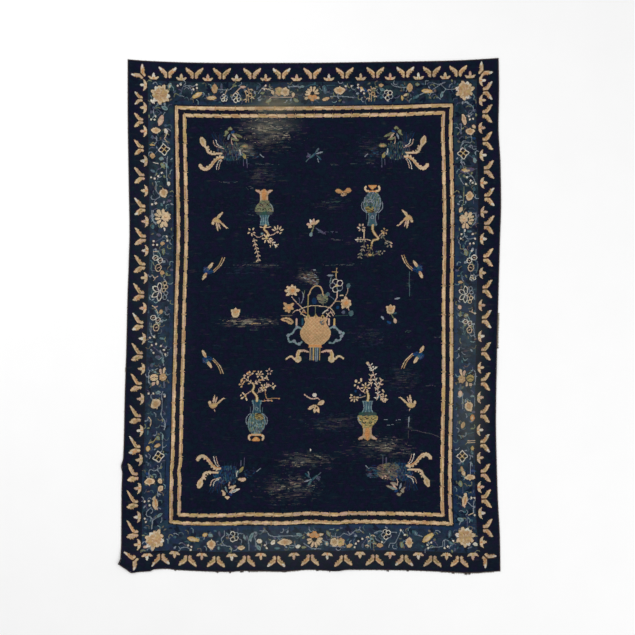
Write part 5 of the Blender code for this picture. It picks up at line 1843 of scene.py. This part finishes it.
def worn_rows(centre, reach, bare, yarns):
    """Level dashes where the pile is gone; the barer a place, the paler its dashes."""
    view, across, up = window([centre - reach, centre + reach], 0)
    away = np.hypot((across - centre[0]) / reach[0], (up - centre[1]) / reach[1])
    row = up // 1
    row_bare = 0.45 + 0.9 * chance(row, 3)
    length = 2 + 6 * chance(row, 5)
    block = (across + 9 * chance(row, 7)) // length
    upright = 0.14 * chance(across // 1, up // 9)
    level = np.sin(0.31 * up + 1.6 * np.sin(0.05 * across))
    clouds = np.sin(0.13 * across + 2 * np.sin(0.06 * up)) * level
    clouds = 0.66 + 0.4 * clouds + 0.2 * np.sin(0.047 * across + 0.09 * up)
    depth = (bare * row_bare * clouds + upright) * swell(away) - chance(row, block, 2)
    part = chart[view]
    mask = (depth > 0) & is_ground[part]
    shade = np.minimum(depth * 2.2 + 0.25 * chance(row // 2, block, 9), 0.999) * len(yarns) // 1
    for k, yarn in enumerate(yarns):
        part[mask & (shade == k)] = yarn


def worn_places():
    """All the worn places and single bare rows, laid over the finished pattern."""
    for row in WORN:
        yarns = (FADED, DUSK, GREY, KHAKI, WORN_PALE) if row.bare > 0.55 else (FADED, FADED, DUSK, GREY)
        reach = np.array([row.reach_x, row.reach_y]) * STEP
        worn_rows(knot_at(row.photo_x, row.photo_y), reach, 0.75 * row.bare, yarns)
    for row in STREAKS:
        middle = knot_at((row.photo_x + row.photo_end) / 2, row.photo_y)
        reach = np.array([0.62 * (row.photo_end - row.photo_x) * STEP, row.rows + 1.0])
        worn_rows(middle, reach, 0.9, (row.yarn, row.yarn, FADED))


def draw_cartoon():
    """The whole chart, from the bands inwards, and then its wear."""
    bands()
    guard_border()
    main_border()
    field()
    worn_places()


# ---------------------------------------------------------------- from chart to carpet

RELIEF_STEP = 7  # knots between two points of the relief in plain ground
BACK_STEP = 26  # and between two points of the back
MERGED = 1e-6  # points nearer than this, in knots, count as one


def line_edges(kept, boundary, number):
    """Edges along one line of the lattice, between kept points that a boundary joins."""
    places = np.flatnonzero(kept)
    broken = np.concatenate([[0], np.cumsum(~boundary)])
    whole = broken[places[1:]] == broken[places[:-1]]
    ids = number[places]
    return np.stack([ids[:-1][whole], ids[1:][whole]], axis=1)


def region_edges(keep, boundary_rows, boundary_columns):
    """Edges along the colour boundaries, from one kept lattice point to the next."""
    number = -np.ones(keep.shape, int)
    number[keep] = np.arange(keep.sum())
    edges = [line_edges(*lines) for lines in zip(keep, boundary_rows, number)]
    edges += [line_edges(*lines) for lines in zip(keep.T, boundary_columns.T, number.T)]
    return np.concatenate(edges)


def chart_mesh():
    """(lattice points, triangles) that follow every boundary between two colours."""
    padded = np.pad(chart.astype(int), 1, constant_values=-1)
    a, b = padded[:-1, :-1], padded[:-1, 1:]
    c, d = padded[1:, :-1], padded[1:, 1:]
    keep = ~(((a == b) & (c == d)) | ((a == c) & (b == d)))
    keep[::RELIEF_STEP, ::RELIEF_STEP] = True
    for ring in (0, 1, 3):
        along = slice(ring, None, 4)
        keep[along, ring] = True
        keep[along, -1 - ring] = True
        keep[ring, along] = True
        keep[-1 - ring, along] = True
    keep[0, 0] = keep[0, -1] = keep[-1, 0] = keep[-1, -1] = True
    boundary_rows = padded[:-1, 1:-1] != padded[1:, 1:-1]
    boundary_columns = padded[1:-1, :-1] != padded[1:-1, 1:]
    edges = region_edges(keep, boundary_rows, boundary_columns)
    rows, columns = np.nonzero(keep)
    points = [Vector((float(x), float(y))) for x, y in zip(columns, rows)]
    found = delaunay_2d_cdt(points, edges.tolist(), [], 0, MERGED, False)
    lattice = np.array([tuple(p) for p in found[0]])
    triangles = np.array([face for face in found[2] if len(face) == 3])
    return lattice, triangles


def floor_places(lattice):
    """Lattice points as (x, y) on the floor. The pattern's drift fades out at the rim."""
    u = U_FIRST + lattice[:, 0] / COLUMNS * (1 - 2 * U_FIRST)
    v = V_FIRST + lattice[:, 1] / ROWS * (1 - 2 * V_FIRST)
    x, y = spot(u, v)
    right, up = drift_at(u, v)
    fade = rim_distance(lattice) > 0
    return x + right * fade, y + up * fade


def rim_distance(lattice):
    """Metres in from the pile's own edge."""
    return KNOT * np.minimum.reduce(
        [lattice[:, 0], COLUMNS - lattice[:, 0], lattice[:, 1], ROWS - lattice[:, 1]]
    )


def set_points(mesh, name, kind, domain, values):
    """Store one value for each point, corner or face of a mesh."""
    attribute = mesh.attributes.new(name, kind, domain)
    field_name = {"FLOAT": "value", "FLOAT_COLOR": "color", "FLOAT2": "vector"}[kind]
    attribute.data.foreach_set(field_name, np.ascontiguousarray(values, np.float32).ravel())


def linear(value):
    """A screen value from 0 to 255 as linear light."""
    share = np.asarray(value, float) / 255
    return np.where(share <= 0.04045, share / 12.92, ((share + 0.055) / 1.055) ** 2.4)


LIGHT_LEVEL = 1.12  # how bright a white floor would be under the lights
VEIL = 0.0016  # light that the dry fibre tips add to every colour
DARKEST_DYE = 0.0012


def yarn_colours():
    """Each yarn's linear colour, with whether it is mottled as a fourth channel."""
    table = np.array(YARNS, float)
    colours = np.maximum(linear(table[:, :3]) / LIGHT_LEVEL - VEIL, DARKEST_DYE)
    return np.hstack([colours, table[:, 3:]])


def pile_carpet():
    """The knotted carpet as one closed mesh, coloured knot by knot."""
    lattice, triangles = chart_mesh()
    x, y = floor_places(lattice)
    depth = rim_distance(lattice)
    shoulder = 1 - np.clip(depth / SHOULDER, 0, 1)
    height = PILE_TOP - (PILE_TOP - SHOULDER_TOP) * shoulder**2 - worn_at(x, y)
    lift = lift_at(x, y)
    top = np.stack([x, y, lift + height], axis=1)
    rim = rim_loop(lattice)
    back_lattice, back_triangles = back_mesh(lattice, rim)
    back_x, back_y = floor_places(back_lattice)
    back = np.stack([back_x, back_y, lift_at(back_x, back_y)], axis=1)
    count = len(top)
    walls = []
    for k, (here, there) in enumerate(zip(rim, np.roll(rim, -1))):
        back_here, back_there = count + k, count + (k + 1) % len(rim)
        walls.append((back_here, back_there, there))
        walls.append((back_here, there, here))
    faces = np.concatenate([triangles, back_triangles[:, ::-1] + count, np.array(walls)])
    places = np.concatenate([top, back])
    mesh = bpy.data.meshes.new("pile_carpet_knotted")
    mesh.from_pydata(places.tolist(), [], faces.tolist())
    middles = lattice[triangles].mean(axis=1).astype(int)
    yarns = chart[middles[:, 1], middles[:, 0]]
    rim_yarns = np.full(len(faces) - len(triangles), GUARD)
    colours = yarn_colours()[np.concatenate([yarns, rim_yarns])]
    set_points(mesh, "yarn", "FLOAT_COLOR", "CORNER", np.repeat(colours, 3, axis=0))
    all_lattice = np.concatenate([lattice, back_lattice])
    uv = all_lattice / (COLUMNS, ROWS)
    layer = mesh.uv_layers.new(name="OFBake")
    layer.data.foreach_set("uv", np.ascontiguousarray(uv[faces.ravel()], np.float32).ravel())
    across, up = places[:, 0], places[:, 1]
    set_points(mesh, "wear", "FLOAT", "POINT", spread_of(WORN, across, up, LEAST_WEAR))
    set_points(mesh, "dust", "FLOAT", "POINT", spread_of(DUSTY, across, up, 0.0))
    mesh.shade_smooth()
    mesh.set_sharp_from_angle(angle=pi / 4)
    piece = bpy.data.objects.new("pile_carpet_knotted", mesh)
    bpy.context.scene.collection.objects.link(piece)
    return piece


def rim_loop(lattice):
    """The lattice points round the edge, anticlockwise."""
    x, y = lattice[:, 0], lattice[:, 1]
    bottom = np.flatnonzero(y == 0)
    right = np.flatnonzero((x == COLUMNS) & (y > 0))
    top = np.flatnonzero((y == ROWS) & (x < COLUMNS))
    left = np.flatnonzero((x == 0) & (y > 0) & (y < ROWS))
    return np.concatenate(
        [
            bottom[np.argsort(x[bottom])],
            right[np.argsort(y[right])],
            top[np.argsort(-x[top])],
            left[np.argsort(-y[left])],
        ]
    )


def back_mesh(lattice, rim):
    """The plain back: the same rim, with a few points inside it."""
    inner = [
        (x, y)
        for y in range(BACK_STEP, ROWS - BACK_STEP // 2, BACK_STEP)
        for x in range(BACK_STEP, COLUMNS - BACK_STEP // 2, BACK_STEP)
    ]
    points = [Vector((float(x), float(y))) for x, y in [*lattice[rim], *inner]]
    loop = [(k, (k + 1) % len(rim)) for k in range(len(rim))]
    found = delaunay_2d_cdt(points, loop, [], 1, MERGED, False)
    return np.array([tuple(p) for p in found[0]]), np.array([f for f in found[2]])


# ---------------------------------------------------------------- wear

# Worn places by the photograph, each with how far it reaches and how bare it is.
Worn = namedtuple("Worn", "photo_x photo_y reach_x reach_y bare")
WORN = rows_of(
    Worn,
    (266, 132, 50, 30, 0.78), (270, 112, 34, 16, 0.6), (244, 148, 28, 18, 0.75), (274, 96, 40, 16, 0.7),
    (262, 176, 30, 18, 0.5), (260, 210, 24, 20, 0.25), (372, 150, 28, 24, 0.4), (330, 204, 30, 14, 0.3),
    (256, 266, 40, 8, 0.4), (306, 276, 18, 12, 0.7), (252, 322, 50, 9, 0.66), (372, 336, 34, 16, 0.34),
    (402, 380, 34, 22, 0.42), (334, 424, 50, 16, 0.45), (380, 447, 54, 20, 0.56), (304, 460, 44, 14, 0.7),
    (290, 489, 46, 24, 0.56), (392, 472, 24, 18, 0.55), (468, 349, 14, 18, 0.5), (468, 430, 14, 22, 0.45),
    (409, 283, 6, 18, 0.3), (409, 424, 6, 20, 0.5),
)
LEAST_WEAR = 0.06  # everywhere else

# Faded, dusty places: the middle of each, its reach and the share of dust.
DUSTY = rows_of(
    Worn,
    (158, 320, 40, 300, 0.04), (468, 330, 28, 84, 0.11), (468, 412, 28, 84, 0.16),
    (468, 200, 26, 130, 0.02), (300, 97, 76, 18, 0.08), (277, 105, 38, 13, 0.36),
    (272, 124, 40, 14, 0.14), (285, 540, 120, 28, 0.10), (310, 548, 270, 42, 0.05),
)


def spread_of(rows, x, y, least):
    """The strongest of some worn or dusty places at a spot on the floor, or the least."""
    photo_x = CARPET_MIDDLE_X + x / PHOTO_STEP
    photo_y = CARPET_MIDDLE_Y - y / PHOTO_STEP
    share = least
    for row in rows:
        share = np.maximum(share, row.bare * nearness(row, photo_x, photo_y))
    return share


# ---------------------------------------------------------------- materials


class Nodes:
    """A short way to write a material's nodes."""

    def __init__(self, name):
        self.material = bpy.data.materials.new(name)
        self.material.use_nodes = True
        self.tree = self.material.node_tree
        self.shader = self.tree.nodes["Principled BSDF"]

    def add(self, kind, inputs=None, **settings):
        """A new node with these inputs and settings."""
        node = self.tree.nodes.new(kind)
        for key, value in settings.items():
            setattr(node, key, value)
        for key, value in (inputs or {}).items():
            self.feed(node.inputs[key], value)
        return node

    def feed(self, socket, value):
        """Link a socket's value to an input, or set a constant on it."""
        if isinstance(value, bpy.types.NodeSocket):
            self.tree.links.new(value, socket)
        else:
            socket.default_value = value

    def math(self, operation, a, b=0.0, c=0.0, clamp=False):
        """One step of arithmetic."""
        node = self.add("ShaderNodeMath", {0: a, 1: b, 2: c}, operation=operation, use_clamp=clamp)
        return node.outputs[0]

    def noise(self, vector, scale, detail=2.0, rough=0.5):
        """A noise with its own scale over a vector."""
        inputs = {"Vector": vector, "Scale": scale, "Detail": detail, "Roughness": rough}
        return self.add("ShaderNodeTexNoise", inputs).outputs["Fac"]

    def scaled(self, vector, x, y, z=1.0):
        """A vector stretched by its own factor on each axis."""
        node = self.add("ShaderNodeVectorMath", {0: vector, 1: (x, y, z)}, operation="MULTIPLY")
        return node.outputs[0]

    def ramp(self, value, low, high, to_low=0.0, to_high=1.0):
        """A smooth step from one range to another."""
        node = self.add(
            "ShaderNodeMapRange",
            {"Value": value, "From Min": low, "From Max": high, "To Min": to_low, "To Max": to_high},
            interpolation_type="SMOOTHSTEP",
        )
        return node.outputs[0]

    def mix(self, share, a, b, blend="MIX"):
        """One colour laid over another by a share."""
        node = self.add("ShaderNodeMix", data_type="RGBA", blend_type=blend)
        self.feed(node.inputs[0], share)
        self.feed(node.inputs[6], a)
        self.feed(node.inputs[7], b)
        return node.outputs[2]


def tone(red, green, blue):
    """A screen colour as the yarn's own linear colour under these lights."""
    return (*(float(x) for x in linear((red, green, blue)) / LIGHT_LEVEL), 1.0)


def pile_material():
    """Dyed wool pile: each knot its own shade, bands of dye, and bare foundation where worn."""
    n = Nodes("navy_wool_pile")
    uv = n.add("ShaderNodeUVMap", uv_map="OFBake").outputs[0]
    knots = n.scaled(uv, COLUMNS, ROWS)
    place = n.add("ShaderNodeTexCoord").outputs["Object"]
    dye_lot = n.add("ShaderNodeAttribute", attribute_name="yarn")
    yarn, mottled = dye_lot.outputs["Color"], dye_lot.outputs["Alpha"]
    wear = n.add("ShaderNodeAttribute", attribute_name="wear").outputs["Fac"]
    cell = n.add("ShaderNodeVectorMath", {0: knots}, operation="FLOOR").outputs[0]
    each = n.add("ShaderNodeTexWhiteNoise", {"Vector": cell}, noise_dimensions="3D").outputs["Value"]
    # dye lots: soft bands up the carpet, a cloudier change over it, and faint rows
    bands = n.noise(n.scaled(place, 0.35, 7.0), 1.0, 3.0, 0.6)
    clouds = n.noise(place, 5.5, 3.0, 0.55)
    rows = n.noise(n.scaled(place, 5.0, 110.0), 1.0, 2.0, 0.6)
    specks = n.noise(place, 70.0, 2.0, 0.7)
    shade = 1.0
    for change, share in ((each, 0.30), (bands, 0.5), (clouds, 0.7), (specks, 0.9), (rows, 0.5)):
        shade = n.math("MULTIPLY_ADD", n.math("SUBTRACT", change, 0.5), share, shade)
    grey = n.add("ShaderNodeCombineColor", {0: shade, 1: shade, 2: shade}).outputs[0]
    dyed = n.mix(1.0, yarn, grey, "MULTIPLY")
    # violet in one place and teal in another, as old indigo fades; pale yarns keep their colour
    cast = n.noise(place, 24.0, 3.0, 0.7)
    bright = n.add("ShaderNodeRGBToBW", {"Color": yarn}).outputs[0]
    indigo = n.ramp(bright, 0.03, 0.16, 0.95, 0.12)
    violet = n.math("MULTIPLY", indigo, n.ramp(cast, 0.50, 0.64))
    dyed = n.mix(violet, dyed, n.mix(1.0, dyed, (1.45, 0.86, 1.15, 1.0), "MULTIPLY"))
    teal = n.math("MULTIPLY", indigo, n.ramp(cast, 0.50, 0.36))
    dyed = n.mix(teal, dyed, n.mix(1.0, dyed, (0.68, 1.14, 1.1, 1.0), "MULTIPLY"))
    darkest = n.ramp(bright, 0.008, 0.022, 0.55, 0.0)
    dyed = n.mix(n.math("MULTIPLY", darkest, n.ramp(cast, 0.50, 0.62)), dyed, tone(23, 17, 45))
    dyed = n.mix(n.math("MULTIPLY", darkest, n.ramp(cast, 0.50, 0.38)), dyed, tone(11, 29, 40))
    # the border's ground changes between navy, teal and blue from place to place
    blots = n.noise(place, 26.0, 2.0, 0.6)
    greener = n.noise(place, 9.0, 2.0, 0.5)
    other = n.mix(n.ramp(greener, 0.42, 0.6), tone(28, 45, 70), tone(36, 58, 64))
    dyed = n.mix(n.math("MULTIPLY", mottled, n.ramp(blots, 0.46, 0.62, 0.0, 0.75)), dyed, other)
    darker = n.math("MULTIPLY", mottled, n.ramp(blots, 0.44, 0.32, 0.0, 0.7))
    dyed = n.mix(darker, dyed, tone(18, 27, 42))
    # the border is greener towards the upper end and bluer lower down
    along = n.add("ShaderNodeSeparateXYZ", {"Vector": place}).outputs["Y"]
    drift = n.math("MULTIPLY_ADD", n.noise(place, 1.7, 1.0, 0.5), 1.6, along)
    region = n.mix(n.ramp(drift, 0.9, 2.2), (0.92, 1.0, 1.2, 1.0), (1.02, 1.0, 0.92, 1.0))
    dyed = n.mix(mottled, dyed, n.mix(1.0, dyed, region, "MULTIPLY"))
    # faded and dusty places, khaki where the fading is strongest
    dust = n.add("ShaderNodeAttribute", attribute_name="dust").outputs["Fac"]
    khaki_dust = n.mix(n.ramp(dust, 0.12, 0.28), tone(128, 134, 118), tone(146, 136, 100))
    dyed = n.mix(dust, dyed, khaki_dust)
    # thin pale streaks where rows of knots are worn down
    streaks = n.noise(n.scaled(place, 9.0, 85.0), 1.0, 3.0, 0.62)
    patches = n.noise(n.scaled(place, 20.0, 36.0), 1.0, 2.0, 0.5)
    level = n.math("MULTIPLY_ADD", patches, 0.4, n.math("MULTIPLY", streaks, 0.6))
    bare = n.ramp(n.math("MULTIPLY_ADD", wear, 0.26, level), 0.56, 0.80)
    bare = n.math("MULTIPLY", bare, n.ramp(wear, 0.0, 1.0, 0.16, 0.56))
    hue = n.noise(n.scaled(place, 8.0, 22.0), 1.0, 1.0, 0.5)
    cool = n.mix(each, tone(62, 66, 72), tone(96, 96, 92))
    warm = n.mix(each, tone(100, 94, 80), tone(142, 132, 112))
    khaki = n.mix(n.ramp(hue, 0.42, 0.58), cool, warm)
    colour = n.mix(bare, dyed, khaki)
    n.feed(n.shader.inputs["Base Color"], colour)
    n.shader.inputs["Roughness"].default_value = 0.92
    n.shader.inputs["Sheen Weight"].default_value = 0.05
    n.shader.inputs["Sheen Roughness"].default_value = 0.5
    n.shader.inputs["Specular IOR Level"].default_value = 0.05
    fibre = n.noise(place, 900.0, 2.0, 0.6)
    tuft = n.math("MULTIPLY_ADD", each, 0.5, fibre)
    bump = n.add("ShaderNodeBump", {"Strength": 0.35, "Distance": 0.0012, "Height": tuft})
    n.feed(n.shader.inputs["Normal"], bump.outputs[0])
    return n.material


def overcast_material():
    """Dark brown-black wool yarn wound round the edge."""
    n = Nodes("brown_black_overcasting")
    place = n.add("ShaderNodeTexCoord").outputs["Object"]
    along = n.noise(place, 60.0, 3.0, 0.6)
    fibre = n.noise(place, 1400.0, 2.0, 0.5)
    colour = n.mix(n.ramp(along, 0.35, 0.7), tone(28, 18, 22), tone(60, 40, 38))
    pale = n.add("ShaderNodeAttribute", attribute_name="pale").outputs["Fac"]
    cream = n.mix(n.ramp(fibre, 0.3, 0.7), tone(150, 136, 108), tone(206, 194, 166))
    colour = n.mix(pale, colour, cream)
    n.feed(n.shader.inputs["Base Color"], colour)
    n.shader.inputs["Roughness"].default_value = 0.9
    n.shader.inputs["Sheen Weight"].default_value = 0.2
    bump = n.add("ShaderNodeBump", {"Strength": 0.3, "Distance": 0.0006, "Height": fibre})
    n.feed(n.shader.inputs["Normal"], bump.outputs[0])
    return n.material


def floor_material():
    """A pale floor that is almost even."""
    n = Nodes("pale_floor")
    place = n.add("ShaderNodeTexCoord").outputs["Object"]
    colour = n.mix(n.noise(place, 3.0), (0.92, 0.92, 0.92, 1.0), (0.95, 0.95, 0.95, 1.0))
    n.feed(n.shader.inputs["Base Color"], colour)
    n.shader.inputs["Roughness"].default_value = 0.8
    return n.material


# ---------------------------------------------------------------- overcast edges

CORD_SIDES = 9
RINGS_PER_WRAP = 4
RIDGE = 0.14  # how much thinner a cord is between two turns, as a share of its thickness

# Ragged yarn ends along an edge, from one photo place to another, and how pale they are.
Ragged = namedtuple("Ragged", "node photo_from photo_to count reach pale")
RAGGED = rows_of(
    Ragged,
    ("selvedge_right", 313, 347, 150, 0.0125, 0.95), ("selvedge_right", 347, 352, 16, 0.0150, 0.1),
    ("selvedge_right", 353, 357, 16, 0.0165, 0.0), ("selvedge_right", 88, 540, 60, 0.0035, 0.2),
    ("selvedge_left", 72, 560, 60, 0.0035, 0.2), ("selvedge_left", 367, 372, 16, 0.0060, 0.8),
    ("end_finish_bottom", 146.5, 149, 10, 0.0080, 0.1), ("end_finish_bottom", 174, 176, 9, 0.0090, 0.1),
    ("end_finish_bottom", 216, 218.5, 10, 0.0110, 0.1), ("end_finish_bottom", 229, 231, 9, 0.0110, 0.1),
    ("end_finish_bottom", 240, 243.5, 16, 0.0130, 0.1), ("end_finish_bottom", 248, 258, 24, 0.0110, 0.3),
    ("end_finish_bottom", 258, 300, 60, 0.0070, 0.5), ("end_finish_bottom", 282, 287, 16, 0.0090, 0.0),
    ("end_finish_bottom", 316, 319, 10, 0.0100, 0.1), ("end_finish_bottom", 329.5, 332, 10, 0.0120, 0.1),
    ("end_finish_bottom", 334, 338, 14, 0.0100, 0.3),
    ("end_finish_bottom", 343.5, 346.5, 10, 0.0110, 0.1),
    ("end_finish_bottom", 386.5, 389, 10, 0.0130, 0.1), ("end_finish_bottom", 407, 409, 8, 0.0120, 0.1),
    ("end_finish_bottom", 452, 454.5, 10, 0.0130, 0.1), ("end_finish_bottom", 440, 494, 80, 0.0085, 0.6),
    ("end_finish_bottom", 464.6, 467, 14, 0.0150, 0.1),
    ("end_finish_bottom", 468.4, 470.4, 12, 0.0150, 0.1),
    ("end_finish_bottom", 130, 494, 130, 0.0062, 0.3), ("end_finish_top", 132, 496, 110, 0.0035, 0.2),
)
AWAY = {
    "selvedge_left": (-1, 0),
    "selvedge_right": (1, 0),
    "end_finish_bottom": (0, -1),
    "end_finish_top": (0, 1),
}
# The rings of a tuft: how far out each is, its height and its radius, in metres but for out.
TuftRing = namedtuple("TuftRing", "out height radius")
TUFT_RINGS = rows_of(TuftRing, (-0.5, 0.0040, 0.0016), (0.45, 0.0028, 0.0013), (1.0, 0.0014, 0.0005))


def tuft(points, faces, root, away, reach, luck):
    """A tapered yarn end that lies on the floor and bends a little to one side."""
    start = len(points)
    along = np.array([-away[1], away[0]])
    for ring, (out, high, thick) in enumerate(TUFT_RINGS):
        middle = root + away * reach * out + along * reach * (luck - 0.5) * out * abs(out)
        for turn in (90, 210, 330):
            side, rise = cos(radians(turn)) * thick, sin(radians(turn)) * thick
            points.append((*(middle + along * side), high + rise))
        if ring:
            last, here = start + 3 * ring - 3, start + 3 * ring
            for j in range(3):
                faces.append((last + j, last + (j + 1) % 3, here + (j + 1) % 3, here + j))
    faces.append((start + 2, start + 1, start))
    faces.append((start + 6, start + 7, start + 8))


def ragged_ends(name, outer):
    """Points, faces and paleness of the tufts along one edge."""
    points, faces, pale = [], [], []
    for row in (row for row in RAGGED if name.startswith(row.node)):
        away = np.array(AWAY[row.node], float)
        sideways = 0 if away[0] == 0 else 1
        for k in range(row.count):
            luck = float(chance(k, row.count, row.photo_from))
            photo = row.photo_from + (row.photo_to - row.photo_from) * (k + luck) / row.count
            place = floor_of(photo, 0)[0] if sideways == 0 else floor_of(0, photo)[1]
            root = outer[:, np.argmin(np.abs(outer[sideways] - place))]
            if lift_at(*root) > 0.001:
                continue
            before = len(points)
            tuft(points, faces, root, away, row.reach * (0.5 + 0.5 * luck), float(chance(k, 7)))
            pale += [row.pale * (0.6 + 0.4 * luck)] * (len(points) - before)
    return points, faces, pale


def wound_cord(name, outer, inner, wraps, turned):
    """A cord between two lines of floor points, ridged by each turn of its yarn."""
    rings = wraps * RINGS_PER_WRAP + 1
    points = []
    for k in range(rings):
        ridge = 1 - RIDGE + RIDGE * abs(sin(pi * k / RINGS_PER_WRAP))
        a, b = outer[:, k], inner[:, k]
        middle = (a + b) / 2
        lift = float(lift_at(middle[0], middle[1]))
        for j in range(CORD_SIDES):
            turn = 2 * pi * j / CORD_SIDES - pi / 2
            across = 0.5 - 0.5 * cos(turn) * ridge
            height = EDGE_TOP / 2 * (1 + sin(turn) * ridge)
            x, y = a + (b - a) * across
            points.append((x, y, lift + height))
    faces = []
    for k in range(rings - 1):
        here, there = k * CORD_SIDES, (k + 1) * CORD_SIDES
        for j in range(CORD_SIDES):
            after = (j + 1) % CORD_SIDES
            faces.append((here + j, here + after, there + after, there + j))
    faces.append(tuple(reversed(range(CORD_SIDES))))
    faces.append(tuple((rings - 1) * CORD_SIDES + j for j in range(CORD_SIDES)))
    if turned:
        faces = [tuple(reversed(face)) for face in faces]
    ends, end_faces, pale = ragged_ends(name, outer)
    first = len(points)
    faces += [tuple(first + j for j in face) for face in end_faces]
    points += ends
    mesh = bpy.data.meshes.new(name)
    mesh.from_pydata([tuple(float(c) for c in p) for p in points], [], faces)
    set_points(mesh, "pale", "FLOAT", "POINT", np.array([0.0] * first + pale))
    mesh.shade_smooth()
    piece = bpy.data.objects.new(name, mesh)
    bpy.context.scene.collection.objects.link(piece)
    return piece


def overcast_edges(material):
    """The four wound cords, each over the solid of its own edge."""
    width, height = SELVEDGE / WIDTH, END_FINISH / LENGTH
    up_wraps, across_wraps = round(LENGTH / WRAP), round(WIDTH / WRAP)
    v = np.linspace(0, 1, up_wraps * RINGS_PER_WRAP + 1)
    u = np.linspace(U_FIRST, 1 - U_FIRST, across_wraps * RINGS_PER_WRAP + 1)
    made = {
        "selvedge_left": (spot(0.0, v), spot(width, v), up_wraps, False),
        "selvedge_right": (spot(1.0, v), spot(1 - width, v), up_wraps, True),
        "end_finish_bottom": (spot(u, 0.0), spot(u, height), across_wraps, True),
        "end_finish_top": (spot(u, 1.0), spot(u, 1 - height), across_wraps, False),
    }
    cords = []
    for node, (outer, inner, wraps, turned) in made.items():
        cord = wound_cord(f"{node}_wound", np.array(outer), np.array(inner), wraps, turned)
        cord.data.materials.append(material)
        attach(cord, "root")
        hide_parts(node)
        cords.append(cord)
    return cords


# ---------------------------------------------------------------- stage

LENS = 85.0
SENSOR = 36.0
FAR_CLIP = 100
FLOOR_SIDE = 40
SKY_STRENGTH = 0.62
Softbox = namedtuple("Softbox", "name place side power")
SOFTBOXES = rows_of(
    Softbox,
    ("softbox_left", (-4.5, 3.5, 6.0), 5.0, 260.0),
    ("softbox_right", (4.5, -2.5, 6.5), 5.0, 180.0),
)


def floor():
    """The floor under the carpet, which is staging."""
    bpy.ops.object.select_all(action="DESELECT")
    bpy.ops.mesh.primitive_plane_add(size=FLOOR_SIDE, location=(0, 0, 0))
    plane = bpy.context.active_object
    plane.name = "floor"
    plane.data.materials.append(floor_material())
    return plane


def camera():
    """The photograph's camera, straight above its middle."""
    data = bpy.data.cameras.new("camera")
    data.lens = LENS
    data.sensor_width = SENSOR
    seen = PHOTO_SIDE * PHOTO_STEP
    away = seen / 2 / (SENSOR / 2 / LENS)
    x, y = floor_of(PHOTO_MIDDLE, PHOTO_MIDDLE)
    rig = bpy.data.objects.new("camera", data)
    rig.location = (x, y, away + PILE_TOP)
    data.clip_end = FAR_CLIP
    bpy.context.scene.collection.objects.link(rig)
    bpy.context.scene.camera = rig


def lights():
    """An even sky and two large soft lamps."""
    world = bpy.data.worlds.new("studio")
    world.use_nodes = True
    sky = world.node_tree.nodes["Background"].inputs
    sky["Color"].default_value = (1, 1, 1, 1)
    sky["Strength"].default_value = SKY_STRENGTH
    bpy.context.scene.world = world
    for box in SOFTBOXES:
        data = bpy.data.lights.new(box.name, "AREA")
        data.shape = "SQUARE"
        data.size = box.side
        data.energy = box.power
        lamp = bpy.data.objects.new(box.name, data)
        lamp.location = box.place
        lamp.rotation_euler = (-Vector(box.place)).to_track_quat("-Z", "Y").to_euler()
        bpy.context.scene.collection.objects.link(lamp)


# ---------------------------------------------------------------- all together


def main():
    """Build the carpet, its edges and the stage."""
    draw_cartoon()
    carpet = pile_carpet()
    carpet.data.materials.append(pile_material())
    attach(carpet, "root")
    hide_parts("pile_carpet")
    cords = overcast_edges(overcast_material())
    plane = floor()
    lights()
    camera()
    bpy.context.scene.view_settings.view_transform = "Standard"


main()
